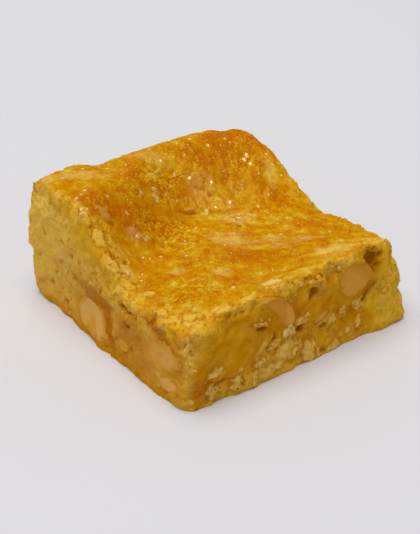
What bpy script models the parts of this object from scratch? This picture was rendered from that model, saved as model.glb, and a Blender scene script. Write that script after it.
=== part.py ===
"""A square of macadamia blondie, cut from the edge of a slab.

The cake is one solid: a flat base, four crumbly cut sides and a wrinkled baked top that is low
over most of the square and climbs to a high rim where it baked against the wall of the pan.
Every macadamia that shows at a cut is a solid of its own, cut flush and seated in its own pocket.

Metres, +Z up. The origin is the middle of the base. -Y and -X are the two sides that are seen
first, and the high rim runs along +Y.
"""

import math

import bmesh
import bpy
from mathutils import Vector, noise

MM = 0.001

# The square base and the cells of its grid
SIDE = 62.0 * MM
HALF = SIDE / 2
CELLS_ACROSS = 40
CELLS_UP = 12
ON_OUTLINE = 0.5 - 1e-6  # a vertex of the unit grid this far out is on the outline

# Profiles of the top in millimetres, each a list of (place along X, value) stops
FRONT_EDGE = [(-31, 17.2), (-26, 18.2), (-18, 19.2), (-8, 20.2), (2, 20.2), (9, 21.0), (17, 22.4), (24, 20.8),
              (31, 18.4)]
LOW_LEVEL = [(-31, 16.6), (-14, 17.8), (4, 18.4), (18, 18.6), (31, 18.8)]
RIM_LEVEL = [(-31, 29.4), (-20, 30.4), (-10, 29.2), (0, 30.0), (14, 30.3), (24, 29.6), (31, 29.6)]
RIM_TOE = [(-31, -9.0), (-20, -3.5), (-8, 4.0), (2, 8.5), (12, 4.0), (22, -1.5), (31, -6.0)]
RIM_CREST = [(-31, 13.0), (-16, 19.0), (0, 28.0), (16, 27.0), (31, 20.0)]
FRONT_EDGE_REACH = 11.0 * MM

# Dips of the top in millimetres, each (place along X, place along Y, reach along X, reach along Y, depth)
DIPS = [
    (-15, 31, 7, 9, 1.2),
    (7.5, 31, 4, 8, 0.7),
    (25, 31, 6, 9, 1.1),
    (31, 17, 9, 4, 1.0),
    (31, -6, 14, 8, 1.5),
    (31, 31, 7, 6, 1.4),
]

# How far the foot of a side spreads, in millimetres along the side, and for the two far sides
FRONT_FOOT = [(-31, 0.2), (-25, 0.3), (-19, 1.2), (-8, 1.5), (0, 1.1), (15, 1.0), (26, 1.9), (31, 0.9)]
LEFT_FOOT = [(-31, 0.8), (-24, 1.3), (-12, 1.1), (0, 1.7), (10, 1.0), (31, 0.8)]
FAR_FOOT = [(-31, 0.0), (-20, 0.8), (31, 0.8)]
FOOT_HEIGHT = 9.0 * MM

# Rounded edges, and the large form of the cut sides
CORNER_RADIUS = 2.4 * MM
TOP_EDGE_RADIUS = 1.5 * MM
RIM_EDGE_RADIUS = 3.0 * MM
FAR_SIDE_LEAN = 1.9 * MM
LEAN_REACH = 9.0 * MM
SIDE_BELLY = 0.6 * MM
CORNER_BELLIES = [(-HALF, HALF, 10.0 * MM, 1.7 * MM), (HALF, -HALF, 9.0 * MM, 1.4 * MM)]  # corner, reach, swell
FRONT_CORNER_WEAR = 1.1 * MM
FRONT_CORNER_REACH = 8.0 * MM

# Relief, each as (size of a lump, height of a lump, seed): broad swells and blisters of the
# baked top, crumbs and grit of the cut sides, and the ragged lip of the crust above them
SWELLS = (13.0 * MM, 0.55 * MM, 3.0)
BLISTERS = (3.4 * MM, 0.32 * MM, 7.0)
CRUMBS = (4.0 * MM, 0.75 * MM, 11.0)
GRIT = (2.1 * MM, 0.30 * MM, 17.0)
LIP = (3.6 * MM, 0.45 * MM, 23.0)
BELLIES = (13.0 * MM, SIDE_BELLY, 29.0)
LIP_HEIGHT = 2.2 * MM
MEAN_BELLY = 0.4  # how much of the belly is there everywhere, before its lumps
MEAN_LIP = 0.6
MEAN_BLISTER = 0.25

# Wrinkles of the baked top, drawn out along one way
WRINKLE_WAY = math.radians(-37.0)
WRINKLE_LENGTH = 11.0 * MM
WRINKLE_WIDTH = 3.6 * MM
WRINKLE_HEIGHT = 0.38 * MM
WRINKLE_SEED = 5.0

# The cut sides, by the way that each one faces, in degrees from +X
FRONT = -90.0
LEFT = 180.0
FAR_RIGHT = 0.0
FAR_LEFT = 90.0

# Spots on the cut sides, in millimetres and degrees:
# (side, place along it, height, half width, half height, tilt, depth)
PITS = [
    (FRONT, -2.0, 7.6, 2.6, 2.4, 0, 1.8),
    (FRONT, -22.4, 5.8, 4.4, 2.6, 8, 1.9),
    (FRONT, -13.0, 5.0, 3.2, 2.5, -30, 1.4),
    (FRONT, 3.4, 15.2, 3.8, 2.3, 10, 1.1),
    (FRONT, 23.0, 7.8, 3.4, 2.6, 40, 1.5),
    (LEFT, -8.4, 9.6, 3.4, 2.4, -14, 1.6),
    (LEFT, 14.6, 10.2, 2.6, 2.4, 0, 1.2),
    (LEFT, 22.8, 17.4, 2.4, 3.4, 0, 1.3),
    (FAR_RIGHT, -21.0, 11.0, 3.6, 2.6, 20, 1.8),
    (FAR_RIGHT, 3.4, 11.4, 3.2, 2.5, -25, 1.5),
    (FAR_RIGHT, 24.0, 9.0, 2.7, 3.2, 0, 1.6),
    (FAR_LEFT, -24.0, 9.0, 3.4, 2.7, -18, 1.6),
    (FAR_LEFT, 3.0, 17.0, 3.8, 2.5, 12, 1.5),
    (FAR_LEFT, 22.0, 17.0, 2.6, 3.2, 0, 1.5),
]
HOLES = {  # air holes, deep enough to be cut out whole
    "hole_front_right": (FRONT, 19.1, 18.2, 2.4, 2.8, -10, 3.6),
    "hole_under_nut": (FRONT, 18.2, 10.4, 2.6, 0.9, 36, 2.0),
}
NUTS = {
    "nut_left_rear": (LEFT, 4.2, 5.4, 6.3, 4.1, 14, 6.0),
    "nut_left_front": (LEFT, -22.6, 9.9, 6.3, 3.3, -13, 5.2),
    "nut_front_middle": (FRONT, -8.2, 14.0, 5.4, 3.7, -43, 5.2),
    "nut_front_right": (FRONT, 14.4, 15.0, 4.9, 3.6, -22, 5.2),
    "nut_far_right_low": (FAR_RIGHT, -9.5, 7.6, 6.2, 4.3, 12, 5.8),
    "nut_far_right_high": (FAR_RIGHT, 13.5, 14.6, 4.9, 4.6, -30, 5.6),
    "nut_far_left_high": (FAR_LEFT, -12.5, 16.2, 6.1, 4.3, 18, 5.6),
    "nut_far_left_low": (FAR_LEFT, 13.0, 7.4, 5.6, 4.0, -12, 5.4),
}
CHIPS = {  # small chips of nut
    "chip_left_front": (LEFT, -25.6, 4.2, 2.9, 1.5, -14, 2.2),
    "chip_left_middle": (LEFT, -8.4, 4.6, 2.9, 1.2, -10, 2.0),
    "chip_front_middle": (FRONT, 4.2, 9.5, 2.2, 0.9, 22, 1.8),
}

# Facets as (segments, rings) round each kind of oval
NUT_FACETS = (16, 9)
CHIP_FACETS = (8, 6)
HOLE_FACETS = (12, 8)

SUNK_SHARE = 0.3  # how deep a nut's middle lies behind the cut, as a share of its depth
NUT_LUMPS = (0.83, 0.05, 31.0)  # size and height as shares of the nut's radius, and the seed
POCKET_GAP = 0.3 * MM
CUT_WELD = 1e-7

# Colours of the two finishes, as linear red, green and blue
BAKED_COLOUR = (0.50, 0.22, 0.02)
NUT_COLOUR = (0.56, 0.33, 0.12)


def smooth(t):
    """0 below 0, 1 above 1, and an even ease between them."""
    t = min(1.0, max(0.0, t))
    return t * t * (3 - 2 * t)


def along(stops, place):
    """The value in metres of a profile at a place in metres, eased between its millimetre stops."""
    here = place / MM
    for (left, low), (right, high) in zip(stops, stops[1:]):
        if here <= right:
            return (low + (high - low) * smooth((here - left) / (right - left))) * MM
    return stops[-1][1] * MM


def lumps(point, relief, mean=0.0):
    """The height of one kind of relief at a point: soft noise round that share of the lump's height."""
    size, height, seed = relief
    return height * (mean + noise.noise(point / size + Vector((seed, 2 * seed, 3 * seed))))


def round_off(distance, radius):
    """How far a surface drops at a distance from a rounded edge."""
    if distance >= radius:
        return 0.0
    inside = radius - max(0.0, distance)
    return radius - math.sqrt(max(0.0, radius * radius - inside * inside))


def past_core(x, y):
    """How far a point lies past the square that the corners are rounded about, with its signs."""
    core = HALF - CORNER_RADIUS
    return Vector((math.copysign(max(0.0, abs(x) - core), x), math.copysign(max(0.0, abs(y) - core), y), 0))


def plan_point(x, y):
    """A point of the square grid, moved so that the square's four corners are round."""
    over = past_core(x, y)
    if over.x and over.y:
        rounded = over * (max(abs(over.x), abs(over.y)) / over.length)
        return x - over.x + rounded.x, y - over.y + rounded.y
    return x, y


def dipped(x, y):
    """How deep the dips of the top are at a point."""
    depth = 0.0
    for place, back, reach, reach_back, deep in DIPS:
        depth += deep * MM * (1 - smooth(math.hypot((x / MM - place) / reach, (y / MM - back) / reach_back)))
    return depth


def level(x, y):
    """Height of the top before its relief: low at the front, and a high rim along +Y."""
    edge = smooth((y + HALF) / FRONT_EDGE_REACH)
    low = along(FRONT_EDGE, x) * (1 - edge) + along(LOW_LEVEL, x) * edge
    toe = along(RIM_TOE, x)
    climb = smooth((y - toe) / (along(RIM_CREST, x) - toe))
    return low + (along(RIM_LEVEL, x) - low) * climb - dipped(x, y)


def wrinkle(x, y):
    """Height of the wrinkles that run one way over the baked top."""
    run = x * math.cos(WRINKLE_WAY) + y * math.sin(WRINKLE_WAY)
    cross = y * math.cos(WRINKLE_WAY) - x * math.sin(WRINKLE_WAY)
    return WRINKLE_HEIGHT * noise.noise(Vector((run / WRINKLE_LENGTH, cross / WRINKLE_WIDTH, WRINKLE_SEED)))


def top_height(x, y):
    """Height of the baked top, with its swells, wrinkles, blisters and rounded edges."""
    place = Vector((x, y, 0))
    blisters = abs(lumps(place, BLISTERS)) - MEAN_BLISTER * BLISTERS[1]
    rim = smooth((y - along(RIM_TOE, x)) / FRONT_EDGE_REACH)
    radius = TOP_EDGE_RADIUS + (RIM_EDGE_RADIUS - TOP_EDGE_RADIUS) * rim
    inset = min(HALF - abs(x), HALF - abs(y))
    return level(x, y) + lumps(place, SWELLS) + wrinkle(x, y) + blisters - round_off(inset, radius)


def side_at(x, y):
    """The cut side that a point of the outline belongs to."""
    if abs(x) > abs(y):
        return FAR_RIGHT if x > 0 else LEFT
    return FAR_LEFT if y > 0 else FRONT


def spot_share(side, x, y, z, spot):
    """0 at the middle of an oval spot on a cut side, 1 on its outline, more outside it."""
    facing, place, height, half_width, half_height, tilt = spot[:6]
    if facing != side:
        return 2.0
    run = (y if side in (LEFT, FAR_RIGHT) else x) / MM - place
    rise = z / MM - height
    turn = math.radians(tilt)
    major = run * math.cos(turn) + rise * math.sin(turn)
    minor = rise * math.cos(turn) - run * math.sin(turn)
    return math.hypot(major / half_width, minor / half_height)


def side_relief(x, y, z, top):
    """How far the crumb of a cut side stands out from its flat cut, or lies behind it."""
    place = Vector((x, y, z))
    lip = smooth((z - (top - LIP_HEIGHT)) / (LIP_HEIGHT / 2))
    relief = lumps(place, CRUMBS) + lumps(place, GRIT) + lip * lumps(place, LIP, MEAN_LIP)
    side = side_at(x, y)
    for pit in PITS:
        share = spot_share(side, x, y, z, pit)
        if share < 1:
            relief -= pit[6] * MM * (1 - share * share) ** 2
    return relief


def near_corner(x, y, corner_x, corner_y, reach):
    """1 at a corner of the square, easing to 0 at a distance from it."""
    return 1 - smooth(math.hypot(x - corner_x, y - corner_y) / reach)


def foot_spread(x, y):
    """How far the foot spreads at a point of the outline: its side's own spread, blended round the corners."""
    way = past_core(x, y).normalized()
    across = along(LEFT_FOOT if way.x < 0 else FAR_FOOT, y)
    back = along(FRONT_FOOT if way.y < 0 else FAR_FOOT, x)
    return way.x**2 * across + way.y**2 * back


def belly(x, y, z, top):
    """How far a side swells out: at its foot, half way up, and most at two of the corners."""
    foot = foot_spread(x, y) * (1 - smooth(z / FOOT_HEIGHT))
    corner = sum(swell * near_corner(x, y, *place, reach) for *place, reach, swell in CORNER_BELLIES)
    return foot + (lumps(Vector((x, y, z)), BELLIES, MEAN_BELLY) + corner) * math.sin(math.pi * z / top)


def leant(x, y, z, top):
    """A point moved by the lean of the far right side and the wear of the front right corner."""
    share = smooth(z / top)
    lean = FAR_SIDE_LEAN * share * smooth(1 - (HALF - x) / LEAN_REACH)
    wear = FRONT_CORNER_WEAR * share * near_corner(x, y, HALF, -HALF, FRONT_CORNER_REACH)
    return Vector((x - lean - wear, y + wear, z))


def shape_cake(mesh):
    """Turns a gridded unit cube into the cake: its levels, leaning sides, crumb and baked top."""
    for vertex in mesh.verts:
        across, back, up = vertex.co
        x, y = plan_point(across * SIDE, back * SIDE)
        top = top_height(x, y)
        z = (up + 0.5) * top
        vertex.co = leant(x, y, z, top)
        if max(abs(across), abs(back)) > ON_OUTLINE:
            way = past_core(x, y).normalized()
            vertex.co += way * (belly(x, y, z, top) + side_relief(x, y, z, top))


def material(name, colour, roughness):
    """A Principled material of that colour and roughness."""
    made = bpy.data.materials.new(name)
    made.use_nodes = True
    shader = made.node_tree.nodes["Principled BSDF"]
    shader.inputs["Base Color"].default_value = (*colour, 1.0)
    shader.inputs["Roughness"].default_value = roughness
    shader.inputs["Metallic"].default_value = 0.0
    return made


def add_object(name, mesh, finish, collection):
    """An object of that mesh, in that collection, with its material."""
    data = bpy.data.meshes.new(name)
    mesh.to_mesh(data)
    mesh.free()
    data.materials.append(finish)
    data.shade_smooth()
    thing = bpy.data.objects.new(name, data)
    collection.objects.link(thing)
    return thing


def grid_cube(across, up):
    """A unit cube whose faces are grids of cells."""
    mesh = bmesh.new()
    bmesh.ops.create_cube(mesh, size=1.0)
    for axis, cells in ((0, across), (1, across), (2, up)):
        edges = [e for e in mesh.edges if abs((e.verts[0].co - e.verts[1].co)[axis]) > CUT_WELD]
        bmesh.ops.subdivide_edges(mesh, edges=edges, cuts=cells - 1, use_grid_fill=True)
    return mesh


def build_cake(finish, collection):
    """The cake's own solid, before the nuts' pockets are cut."""
    mesh = grid_cube(CELLS_ACROSS, CELLS_UP)
    shape_cake(mesh)
    floor = [f for f in mesh.faces if all(v.co.z < CUT_WELD for v in f.verts)]
    bmesh.ops.dissolve_faces(mesh, faces=floor, use_verts=False)
    bmesh.ops.triangulate(mesh, faces=mesh.faces[:])
    return add_object("cake", mesh, finish, collection)


def oval_mesh(spot, facets, grow):
    """A lumpy oval in its own frame, +X out of the cut. Its outline at the cut is the spot's oval."""
    half_width, half_height, depth = spot[3] * MM, spot[4] * MM, spot[6] * MM
    sunk = SUNK_SHARE * depth
    widen = 1 / math.sqrt(1 - SUNK_SHARE**2)
    radii = Vector((depth, half_width * widen, half_height * widen)) + Vector((grow, grow, grow))
    own_place = Vector((0, 0, spot[1]))  # so that no two ovals have the same lumps
    mesh = bmesh.new()
    bmesh.ops.create_uvsphere(mesh, u_segments=facets[0], v_segments=facets[1], radius=1.0)
    for vertex in mesh.verts:
        vertex.co = vertex.co * radii * (1 + lumps(vertex.co + own_place, NUT_LUMPS))
        vertex.co.x -= sunk
    return mesh


def cut_flush(mesh):
    """Removes what stands out past the cut at X = 0 and closes the mesh there."""
    whole = mesh.verts[:] + mesh.edges[:] + mesh.faces[:]
    made = bmesh.ops.bisect_plane(
        mesh, geom=whole, dist=CUT_WELD, plane_co=(0, 0, 0), plane_no=(1, 0, 0), clear_outer=True
    )
    rim = [g for g in made["geom_cut"] if isinstance(g, bmesh.types.BMEdge)]
    bmesh.ops.edgeloop_fill(mesh, edges=rim)
    bmesh.ops.recalc_face_normals(mesh, faces=mesh.faces[:])


def seat(thing, spot):
    """Places an oval on its side of the cake, turned to face out of the cut."""
    side, place, height, tilt = spot[0], spot[1] * MM, spot[2] * MM, spot[5]
    facing = math.radians(side)
    x, y = HALF * math.cos(facing), HALF * math.sin(facing)
    if side in (LEFT, FAR_RIGHT):
        y += place
    else:
        x += place
    top = level(x, y)
    thing.location = leant(x, y, height, top) + past_core(x, y).normalized() * belly(x, y, height, top)
    thing.rotation_euler = (math.radians(-tilt if side in (LEFT, FAR_LEFT) else tilt), 0, facing)


def add_cutter(name, mesh, spot, finish, cutters):
    """A hidden oval that hollows the cake where it is seated."""
    cutter = add_object(name, mesh, finish, cutters)
    seat(cutter, spot)
    cutter.hide_render = True
    cutter.display_type = "WIRE"


def build_nuts(spots, facets, finish, parts, cutters):
    """The nuts of a table, each with the cutter that hollows its pocket."""
    for name, spot in spots.items():
        nut = oval_mesh(spot, facets, 0.0)
        cut_flush(nut)
        seat(add_object(name, nut, finish, parts), spot)
        add_cutter(name + "_pocket", oval_mesh(spot, facets, POCKET_GAP), spot, finish, cutters)


def cut_hollows(cake, cutters):
    """Takes every nut's pocket and every air hole out of the cake."""
    for cutter in cutters.objects:
        cut = cake.modifiers.new(cutter.name, "BOOLEAN")
        cut.operation = "DIFFERENCE"
        cut.object = cutter


def main():
    """Clears the scene and models the blondie and its nuts."""
    for thing in list(bpy.data.objects):
        bpy.data.objects.remove(thing)
    parts = bpy.data.collections.new("blondie")
    cutters = bpy.data.collections.new("hollow_cutters")
    for collection in (parts, cutters):
        bpy.context.scene.collection.children.link(collection)
    cake_finish = material("baked_cake", BAKED_COLOUR, 0.6)
    nut_finish = material("macadamia", NUT_COLOUR, 0.5)
    cake = build_cake(cake_finish, parts)
    build_nuts(NUTS, NUT_FACETS, nut_finish, parts, cutters)
    build_nuts(CHIPS, CHIP_FACETS, nut_finish, parts, cutters)
    for name, spot in HOLES.items():
        add_cutter(name, oval_mesh(spot, HOLE_FACETS, 0.0), spot, cake_finish, cutters)
    cut_hollows(cake, cutters)


main()
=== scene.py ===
"""Looks of a square of macadamia blondie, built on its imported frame.

The cake is a finely gridded block shaped like the frame's solid, with a baked crust on top and
crumb at its sides. Its wrinkles, pits and flakes are relief. The macadamias at the sides and the
crumbs that cling there are pieces of their own. Metres, +Z up, origin at the middle of the base.
"""

import logging
import math
import random
from collections.abc import Callable, Iterator, Sequence
from dataclasses import dataclass
from enum import Enum

import bmesh
import bpy
import numpy as np
from mathutils import Matrix, Vector, noise


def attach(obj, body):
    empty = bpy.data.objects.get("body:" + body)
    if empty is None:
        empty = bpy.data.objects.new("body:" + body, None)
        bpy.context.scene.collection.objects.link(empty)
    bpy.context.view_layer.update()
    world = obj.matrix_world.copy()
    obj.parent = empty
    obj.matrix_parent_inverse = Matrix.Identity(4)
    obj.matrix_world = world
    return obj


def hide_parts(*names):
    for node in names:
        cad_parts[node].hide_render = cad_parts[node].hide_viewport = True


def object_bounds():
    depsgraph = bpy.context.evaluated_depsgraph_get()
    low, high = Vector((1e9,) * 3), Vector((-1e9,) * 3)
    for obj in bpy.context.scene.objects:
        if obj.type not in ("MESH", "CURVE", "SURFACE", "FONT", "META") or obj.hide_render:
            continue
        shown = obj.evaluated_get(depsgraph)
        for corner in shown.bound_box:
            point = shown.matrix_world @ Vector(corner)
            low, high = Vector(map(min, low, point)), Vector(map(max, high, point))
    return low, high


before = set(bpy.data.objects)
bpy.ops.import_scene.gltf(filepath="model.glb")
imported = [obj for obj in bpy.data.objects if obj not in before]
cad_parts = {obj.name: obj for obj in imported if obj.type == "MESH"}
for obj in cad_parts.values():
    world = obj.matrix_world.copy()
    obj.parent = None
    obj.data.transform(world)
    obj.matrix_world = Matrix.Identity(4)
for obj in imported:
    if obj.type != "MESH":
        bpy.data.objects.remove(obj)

CAD_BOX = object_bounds()
BODY = "root"
MM = 0.001
log = logging.getLogger("blondie")

Array = np.ndarray
Colour = tuple[float, float, float]


# ---------------------------------------------------------------- numbers and noise


def ease(values: Array, start: float | Array = 0.0, end: float | Array = 1.0) -> Array:
    """0 up to the start, 1 from the end, and an even ease between them; the end may be the lower one."""
    t = np.clip((values - start) / (end - start), 0.0, 1.0)
    return t * t * (3 - 2 * t)


def linear(*screen: int) -> Colour:
    """Linear colour of a screen colour whose channels run from 0 to 255."""
    return tuple(((c / 255 + 0.055) / 1.055) ** 2.4 if c > 10 else c / 255 / 12.92 for c in screen)


def stack(x: Array, y: Array, z: Array) -> Array:
    """Points from their coordinates, one row each."""
    return np.stack(np.broadcast_arrays(x, y, z), axis=-1)


def noise_places(points: Array, size: float, seed: float) -> list[list[float]]:
    """Points counted in features of that size, in the seed's own part of the noise."""
    return (points / size + seed * np.array([1.0, 2.0, 3.0])).tolist()


def held_in_box(points: Array) -> Array:
    """Points held inside the box of the frame's solids."""
    return np.clip(points, np.array(CAD_BOX[0]), np.array(CAD_BOX[1]))


@dataclass(frozen=True)
class Lumps:
    """Soft noise whose features have one size.

    Attributes:
        size: Length of a feature.
        height: Most that it stands out, about.
        seed: Where in the noise it is read.
    """

    size: float
    height: float
    seed: float

    def at(self, points: Array, mean: float = 0.0) -> Array:
        """Height at each point, round that share of the full height."""
        places = noise_places(points, self.size, self.seed)
        return self.height * (mean + np.array([noise.noise(place) for place in places]))


@dataclass(frozen=True)
class Clods:
    """Rounded clods of several sizes at once, with sharp creases between them.

    Attributes:
        size: Length of the largest clods.
        height: How far they stand out of their creases.
        seed: Where in the noise they are read.
        octaves: How many sizes there are, each half the one before.
        gain: How steep they are.
        highest: Share of the height that the highest reach.
    """

    size: float
    height: float
    seed: float
    octaves: int
    gain: float = 1.15
    highest: float = 1.2

    def at(self, points: Array) -> Array:
        """Share of the clods' full height at each point: 0 in a crease, about 1 on a clod.

        Args:
            points: The points, one row each.

        Returns:
            The share at each point.
        """
        places = noise_places(points, self.size, self.seed)
        rough = np.array([noise.turbulence(place, self.octaves, True) for place in places])
        return np.clip(self.gain * rough, 0.0, self.highest)


@dataclass(frozen=True)
class Plates:
    """Flat-topped torn flakes with steep ragged edges.

    Attributes:
        size: Length of a flake.
        height: How far it stands out.
        seed: Where in the noise they are read.
        octaves: How many times finer each layer of noise is, and how strong.
        edge: Values of the noise at the foot and at the top of a flake's edge.
    """

    size: float
    height: float
    seed: float
    octaves: tuple[tuple[float, float], ...] = ((1, 1.0), (3, 0.42), (6, 0.24))
    edge: tuple[float, float] = (-0.08, 0.12)

    def at(self, points: Array) -> Array:
        """1 on a flake and 0 between them."""
        layers = (Lumps(self.size / o, h, self.seed + n) for n, (o, h) in enumerate(self.octaves))
        return ease(sum(layer.at(points) for layer in layers), *self.edge)


@dataclass(frozen=True)
class Bubbles:
    """Scattered round bubbles of uneven width, with gaps between them.

    Attributes:
        spacing: How far apart they lie, about.
        widest: Radius of the widest ones.
        height: How high or how deep they are.
        seed: Where in the noise they are read.
        scatter: How far apart in the noise the widths of neighbours are read.
    """

    spacing: float
    widest: float
    height: float
    seed: float
    scatter: float = 37.0

    def at(self, points: Array) -> Array:
        """Share of a bubble's height at each point: 0 outside them, 1 in the middle of one.

        Args:
            points: The points, one row each.

        Returns:
            The share at each point.
        """
        share = np.zeros(len(points))
        for index, place in enumerate(noise_places(points, self.spacing, self.seed)):
            distances, centres = noise.voronoi(place)
            width = self.widest / self.spacing * abs(noise.cell(centres[0] * self.scatter))
            if distances[0] < width:
                share[index] = math.sqrt(1 - (distances[0] / width) ** 2)
        return share


@dataclass(frozen=True)
class Profile:
    """A measure that changes along one way, eased between its stops.

    Attributes:
        stops: (place, value) pairs in millimetres.
    """

    stops: tuple[tuple[float, float], ...]

    def at(self, place: Array) -> Array:
        """The value in metres at places in metres.

        Args:
            place: The places, in metres.

        Returns:
            The values, in metres.
        """
        here = np.asarray(place) / MM
        places, values = np.array(self.stops).T
        left = np.clip(np.searchsorted(places, here) - 1, 0, len(places) - 2)
        low, high = values[left], values[left + 1]
        return (low + (high - low) * ease(here, places[left], places[left + 1])) * MM


# ---------------------------------------------------------------- form of the cake


class Side(Enum):
    """The sides of the square by the way that they face, and its top."""

    FRONT = (0, -1)
    LEFT = (-1, 0)
    FAR_RIGHT = (1, 0)
    FAR_LEFT = (0, 1)
    TOP = (0, 0)

    def run(self, x: Array, y: Array) -> Array:
        """How far along the side a point lies."""
        return y if self.value[0] else x

    def facing(self, outward: Array) -> Array:
        """How far each way out of the outline is this side's own: 1 on it, 0 on the others."""
        return np.clip(outward[:, 0] * self.value[0] + outward[:, 1] * self.value[1], 0.0, 1.0) ** 2


@dataclass(frozen=True)
class Spot:
    """An oval place on a side or on the top, in millimetres and degrees.

    Attributes:
        side: The side that it is on.
        place: How far along the side it is, or its X on the top.
        height: How high on the side it is, or its Y on the top.
        half_width: Half its length along its own long way.
        half_height: Half its other length.
        tilt: How far its long way is turned up from the level, or from X.
        depth: How deep or how high it is, or the strength of a tone.
        bluntness: 2 for an oval, less for a pointed one, more for a blocky one.
    """

    side: Side
    place: float
    height: float
    half_width: float
    half_height: float
    tilt: float = 0.0
    depth: float = 1.0
    bluntness: float = 2.0

    def share(self, run: Array, rise: Array) -> Array:
        """0 at the spot's middle and 1 on its outline, for places in metres on its side.

        Args:
            run: Places along the side.
            rise: Heights on it.

        Returns:
            The share at each place.
        """
        turn = math.radians(self.tilt)
        along, up = run / MM - self.place, rise / MM - self.height
        major = (along * math.cos(turn) + up * math.sin(turn)) / self.half_width
        minor = (up * math.cos(turn) - along * math.sin(turn)) / self.half_height
        return (np.abs(major) ** self.bluntness + np.abs(minor) ** self.bluntness) ** (1 / self.bluntness)


@dataclass(frozen=True)
class CakeForm:
    """The large form of the cake, with the frame's own measures.

    Attributes:
        side: Side of the square.
        lean: How far the far right side leans in, within lean_reach of it.
        corner_bellies: Corners that swell out, with their reach and how far.
        corner_wear: How far the front right corner is worn back at its top.
        front_edge: Height of the top along the front edge.
        low: Height of the low part of the top, behind that edge.
        rim: Height of the rim along the far left side.
        toe: How far back the climb to the rim starts.
        crest: How far back it ends.
        dips: Dips of the top: place, place back, reach across and back, depth, in millimetres.
        front_foot: How far the foot of the front side spreads; so left_foot and far_foot.
        swells: Broad swells of the top; so blisters, and bellies for those of the sides.
        wrinkle_size: Length and width of the wrinkles of the top.
        wrinkle_way: The way that they run, turned from X.
    """

    side: float = 62.0 * MM
    corner_radius: float = 2.4 * MM
    edge_radius: float = 1.5 * MM
    rim_radius: float = 3.0 * MM
    lean: float = 1.9 * MM
    lean_reach: float = 9.0 * MM
    foot_height: float = 9.0 * MM
    corner_bellies: tuple[tuple[int, int, float, float], ...] = (
        (-1, 1, 10.0 * MM, 1.7 * MM),
        (1, -1, 9.0 * MM, 1.4 * MM),
    )
    corner_wear: float = 1.1 * MM
    corner_wear_reach: float = 8.0 * MM
    edge_reach: float = 11.0 * MM
    mean_belly: float = 0.4
    front_edge: Profile = Profile(
        (
            (-31, 17.2), (-26, 18.2), (-18, 19.2), (-8, 20.2), (2, 20.2), (9, 21.0), (17, 22.4), (24, 20.8),
            (31, 18.4),
        )
    )
    low: Profile = Profile(((-31, 16.6), (-14, 17.8), (4, 18.4), (18, 18.6), (31, 18.8)))
    rim: Profile = Profile(
        ((-31, 29.4), (-20, 30.4), (-10, 29.2), (0, 30.0), (14, 30.3), (24, 29.6), (31, 29.6))
    )
    toe: Profile = Profile(((-31, -9.0), (-20, -3.5), (-8, 4.0), (2, 8.5), (12, 4.0), (22, -1.5), (31, -6.0)))
    crest: Profile = Profile(((-31, 13.0), (-16, 19.0), (0, 28.0), (16, 27.0), (31, 20.0)))
    dips: tuple[tuple[float, ...], ...] = (
        (-15, 31, 7, 9, 1.2), (7.5, 31, 4, 8, 0.7), (25, 31, 6, 9, 1.1),
        (31, 17, 9, 4, 1.0), (31, -6, 14, 8, 1.5), (31, 31, 7, 6, 1.4),
    )
    front_foot: Profile = Profile(
        ((-31, 0.2), (-25, 0.3), (-19, 1.2), (-8, 1.5), (0, 1.1), (15, 1.0), (26, 1.9), (31, 0.9))
    )
    left_foot: Profile = Profile(((-31, 0.8), (-24, 1.3), (-12, 1.1), (0, 1.7), (10, 1.0), (31, 0.8)))
    far_foot: Profile = Profile(((-31, 0.0), (-20, 0.8), (31, 0.8)))
    swells: Lumps = Lumps(13.0 * MM, 0.55 * MM, 3.0)
    wrinkle_height: float = 0.38 * MM
    wrinkle_size: tuple[float, float] = (11.0 * MM, 3.6 * MM)
    wrinkle_way: float = math.radians(-37.0)
    blisters: Lumps = Lumps(3.4 * MM, 0.32 * MM, 7.0)
    mean_blister: float = 0.25
    bellies: Lumps = Lumps(13.0 * MM, 0.6 * MM, 29.0)

    @property
    def half(self) -> float:
        """Half the square's side."""
        return self.side / 2

    def past_core(self, x: Array, y: Array) -> tuple[Array, Array, Array]:
        """How far points lie past the square that the corners are rounded about: by X, by Y, straight.

        Args:
            x: Places across.
            y: Places back.

        Returns:
            The three distances at each point, the last one never quite 0.
        """
        core = self.half - self.corner_radius
        over_x = np.copysign(np.maximum(0.0, np.abs(x) - core), x)
        over_y = np.copysign(np.maximum(0.0, np.abs(y) - core), y)
        return over_x, over_y, np.maximum(np.hypot(over_x, over_y), 1e-9)

    def outward(self, x: Array, y: Array) -> Array:
        """The level way out of the cake at each point near its outline."""
        over_x, over_y, length = self.past_core(x, y)
        return stack(over_x / length, over_y / length, 0.0)

    def plan(self, x: Array, y: Array) -> tuple[Array, Array]:
        """Points of a square grid, moved so that the square's corners are round.

        Args:
            x: Places across.
            y: Places back.

        Returns:
            The moved places, across and back.
        """
        over_x, over_y, length = self.past_core(x, y)
        corner = (over_x != 0) & (over_y != 0)
        shrink = np.where(corner, np.maximum(np.abs(over_x), np.abs(over_y)) / length, 1.0)
        return x - over_x * (1 - shrink), y - over_y * (1 - shrink)

    def from_front(self, y: Array) -> Array:
        """How far behind the front side points lie."""
        return y + self.half

    def inset(self, x: Array, y: Array) -> Array:
        """How far points lie inside the outline."""
        return self.half - np.maximum(np.abs(x), np.abs(y))

    def level(self, x: Array, y: Array) -> Array:
        """Height of the top before its relief.

        Args:
            x: Places across.
            y: Places back.

        Returns:
            The heights.
        """
        edge = ease(self.from_front(y), 0.0, self.edge_reach)
        low = self.front_edge.at(x) * (1 - edge) + self.low.at(x) * edge
        return low + (self.rim.at(x) - low) * ease(y, self.toe.at(x), self.crest.at(x)) - self.dipped(x, y)

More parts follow.
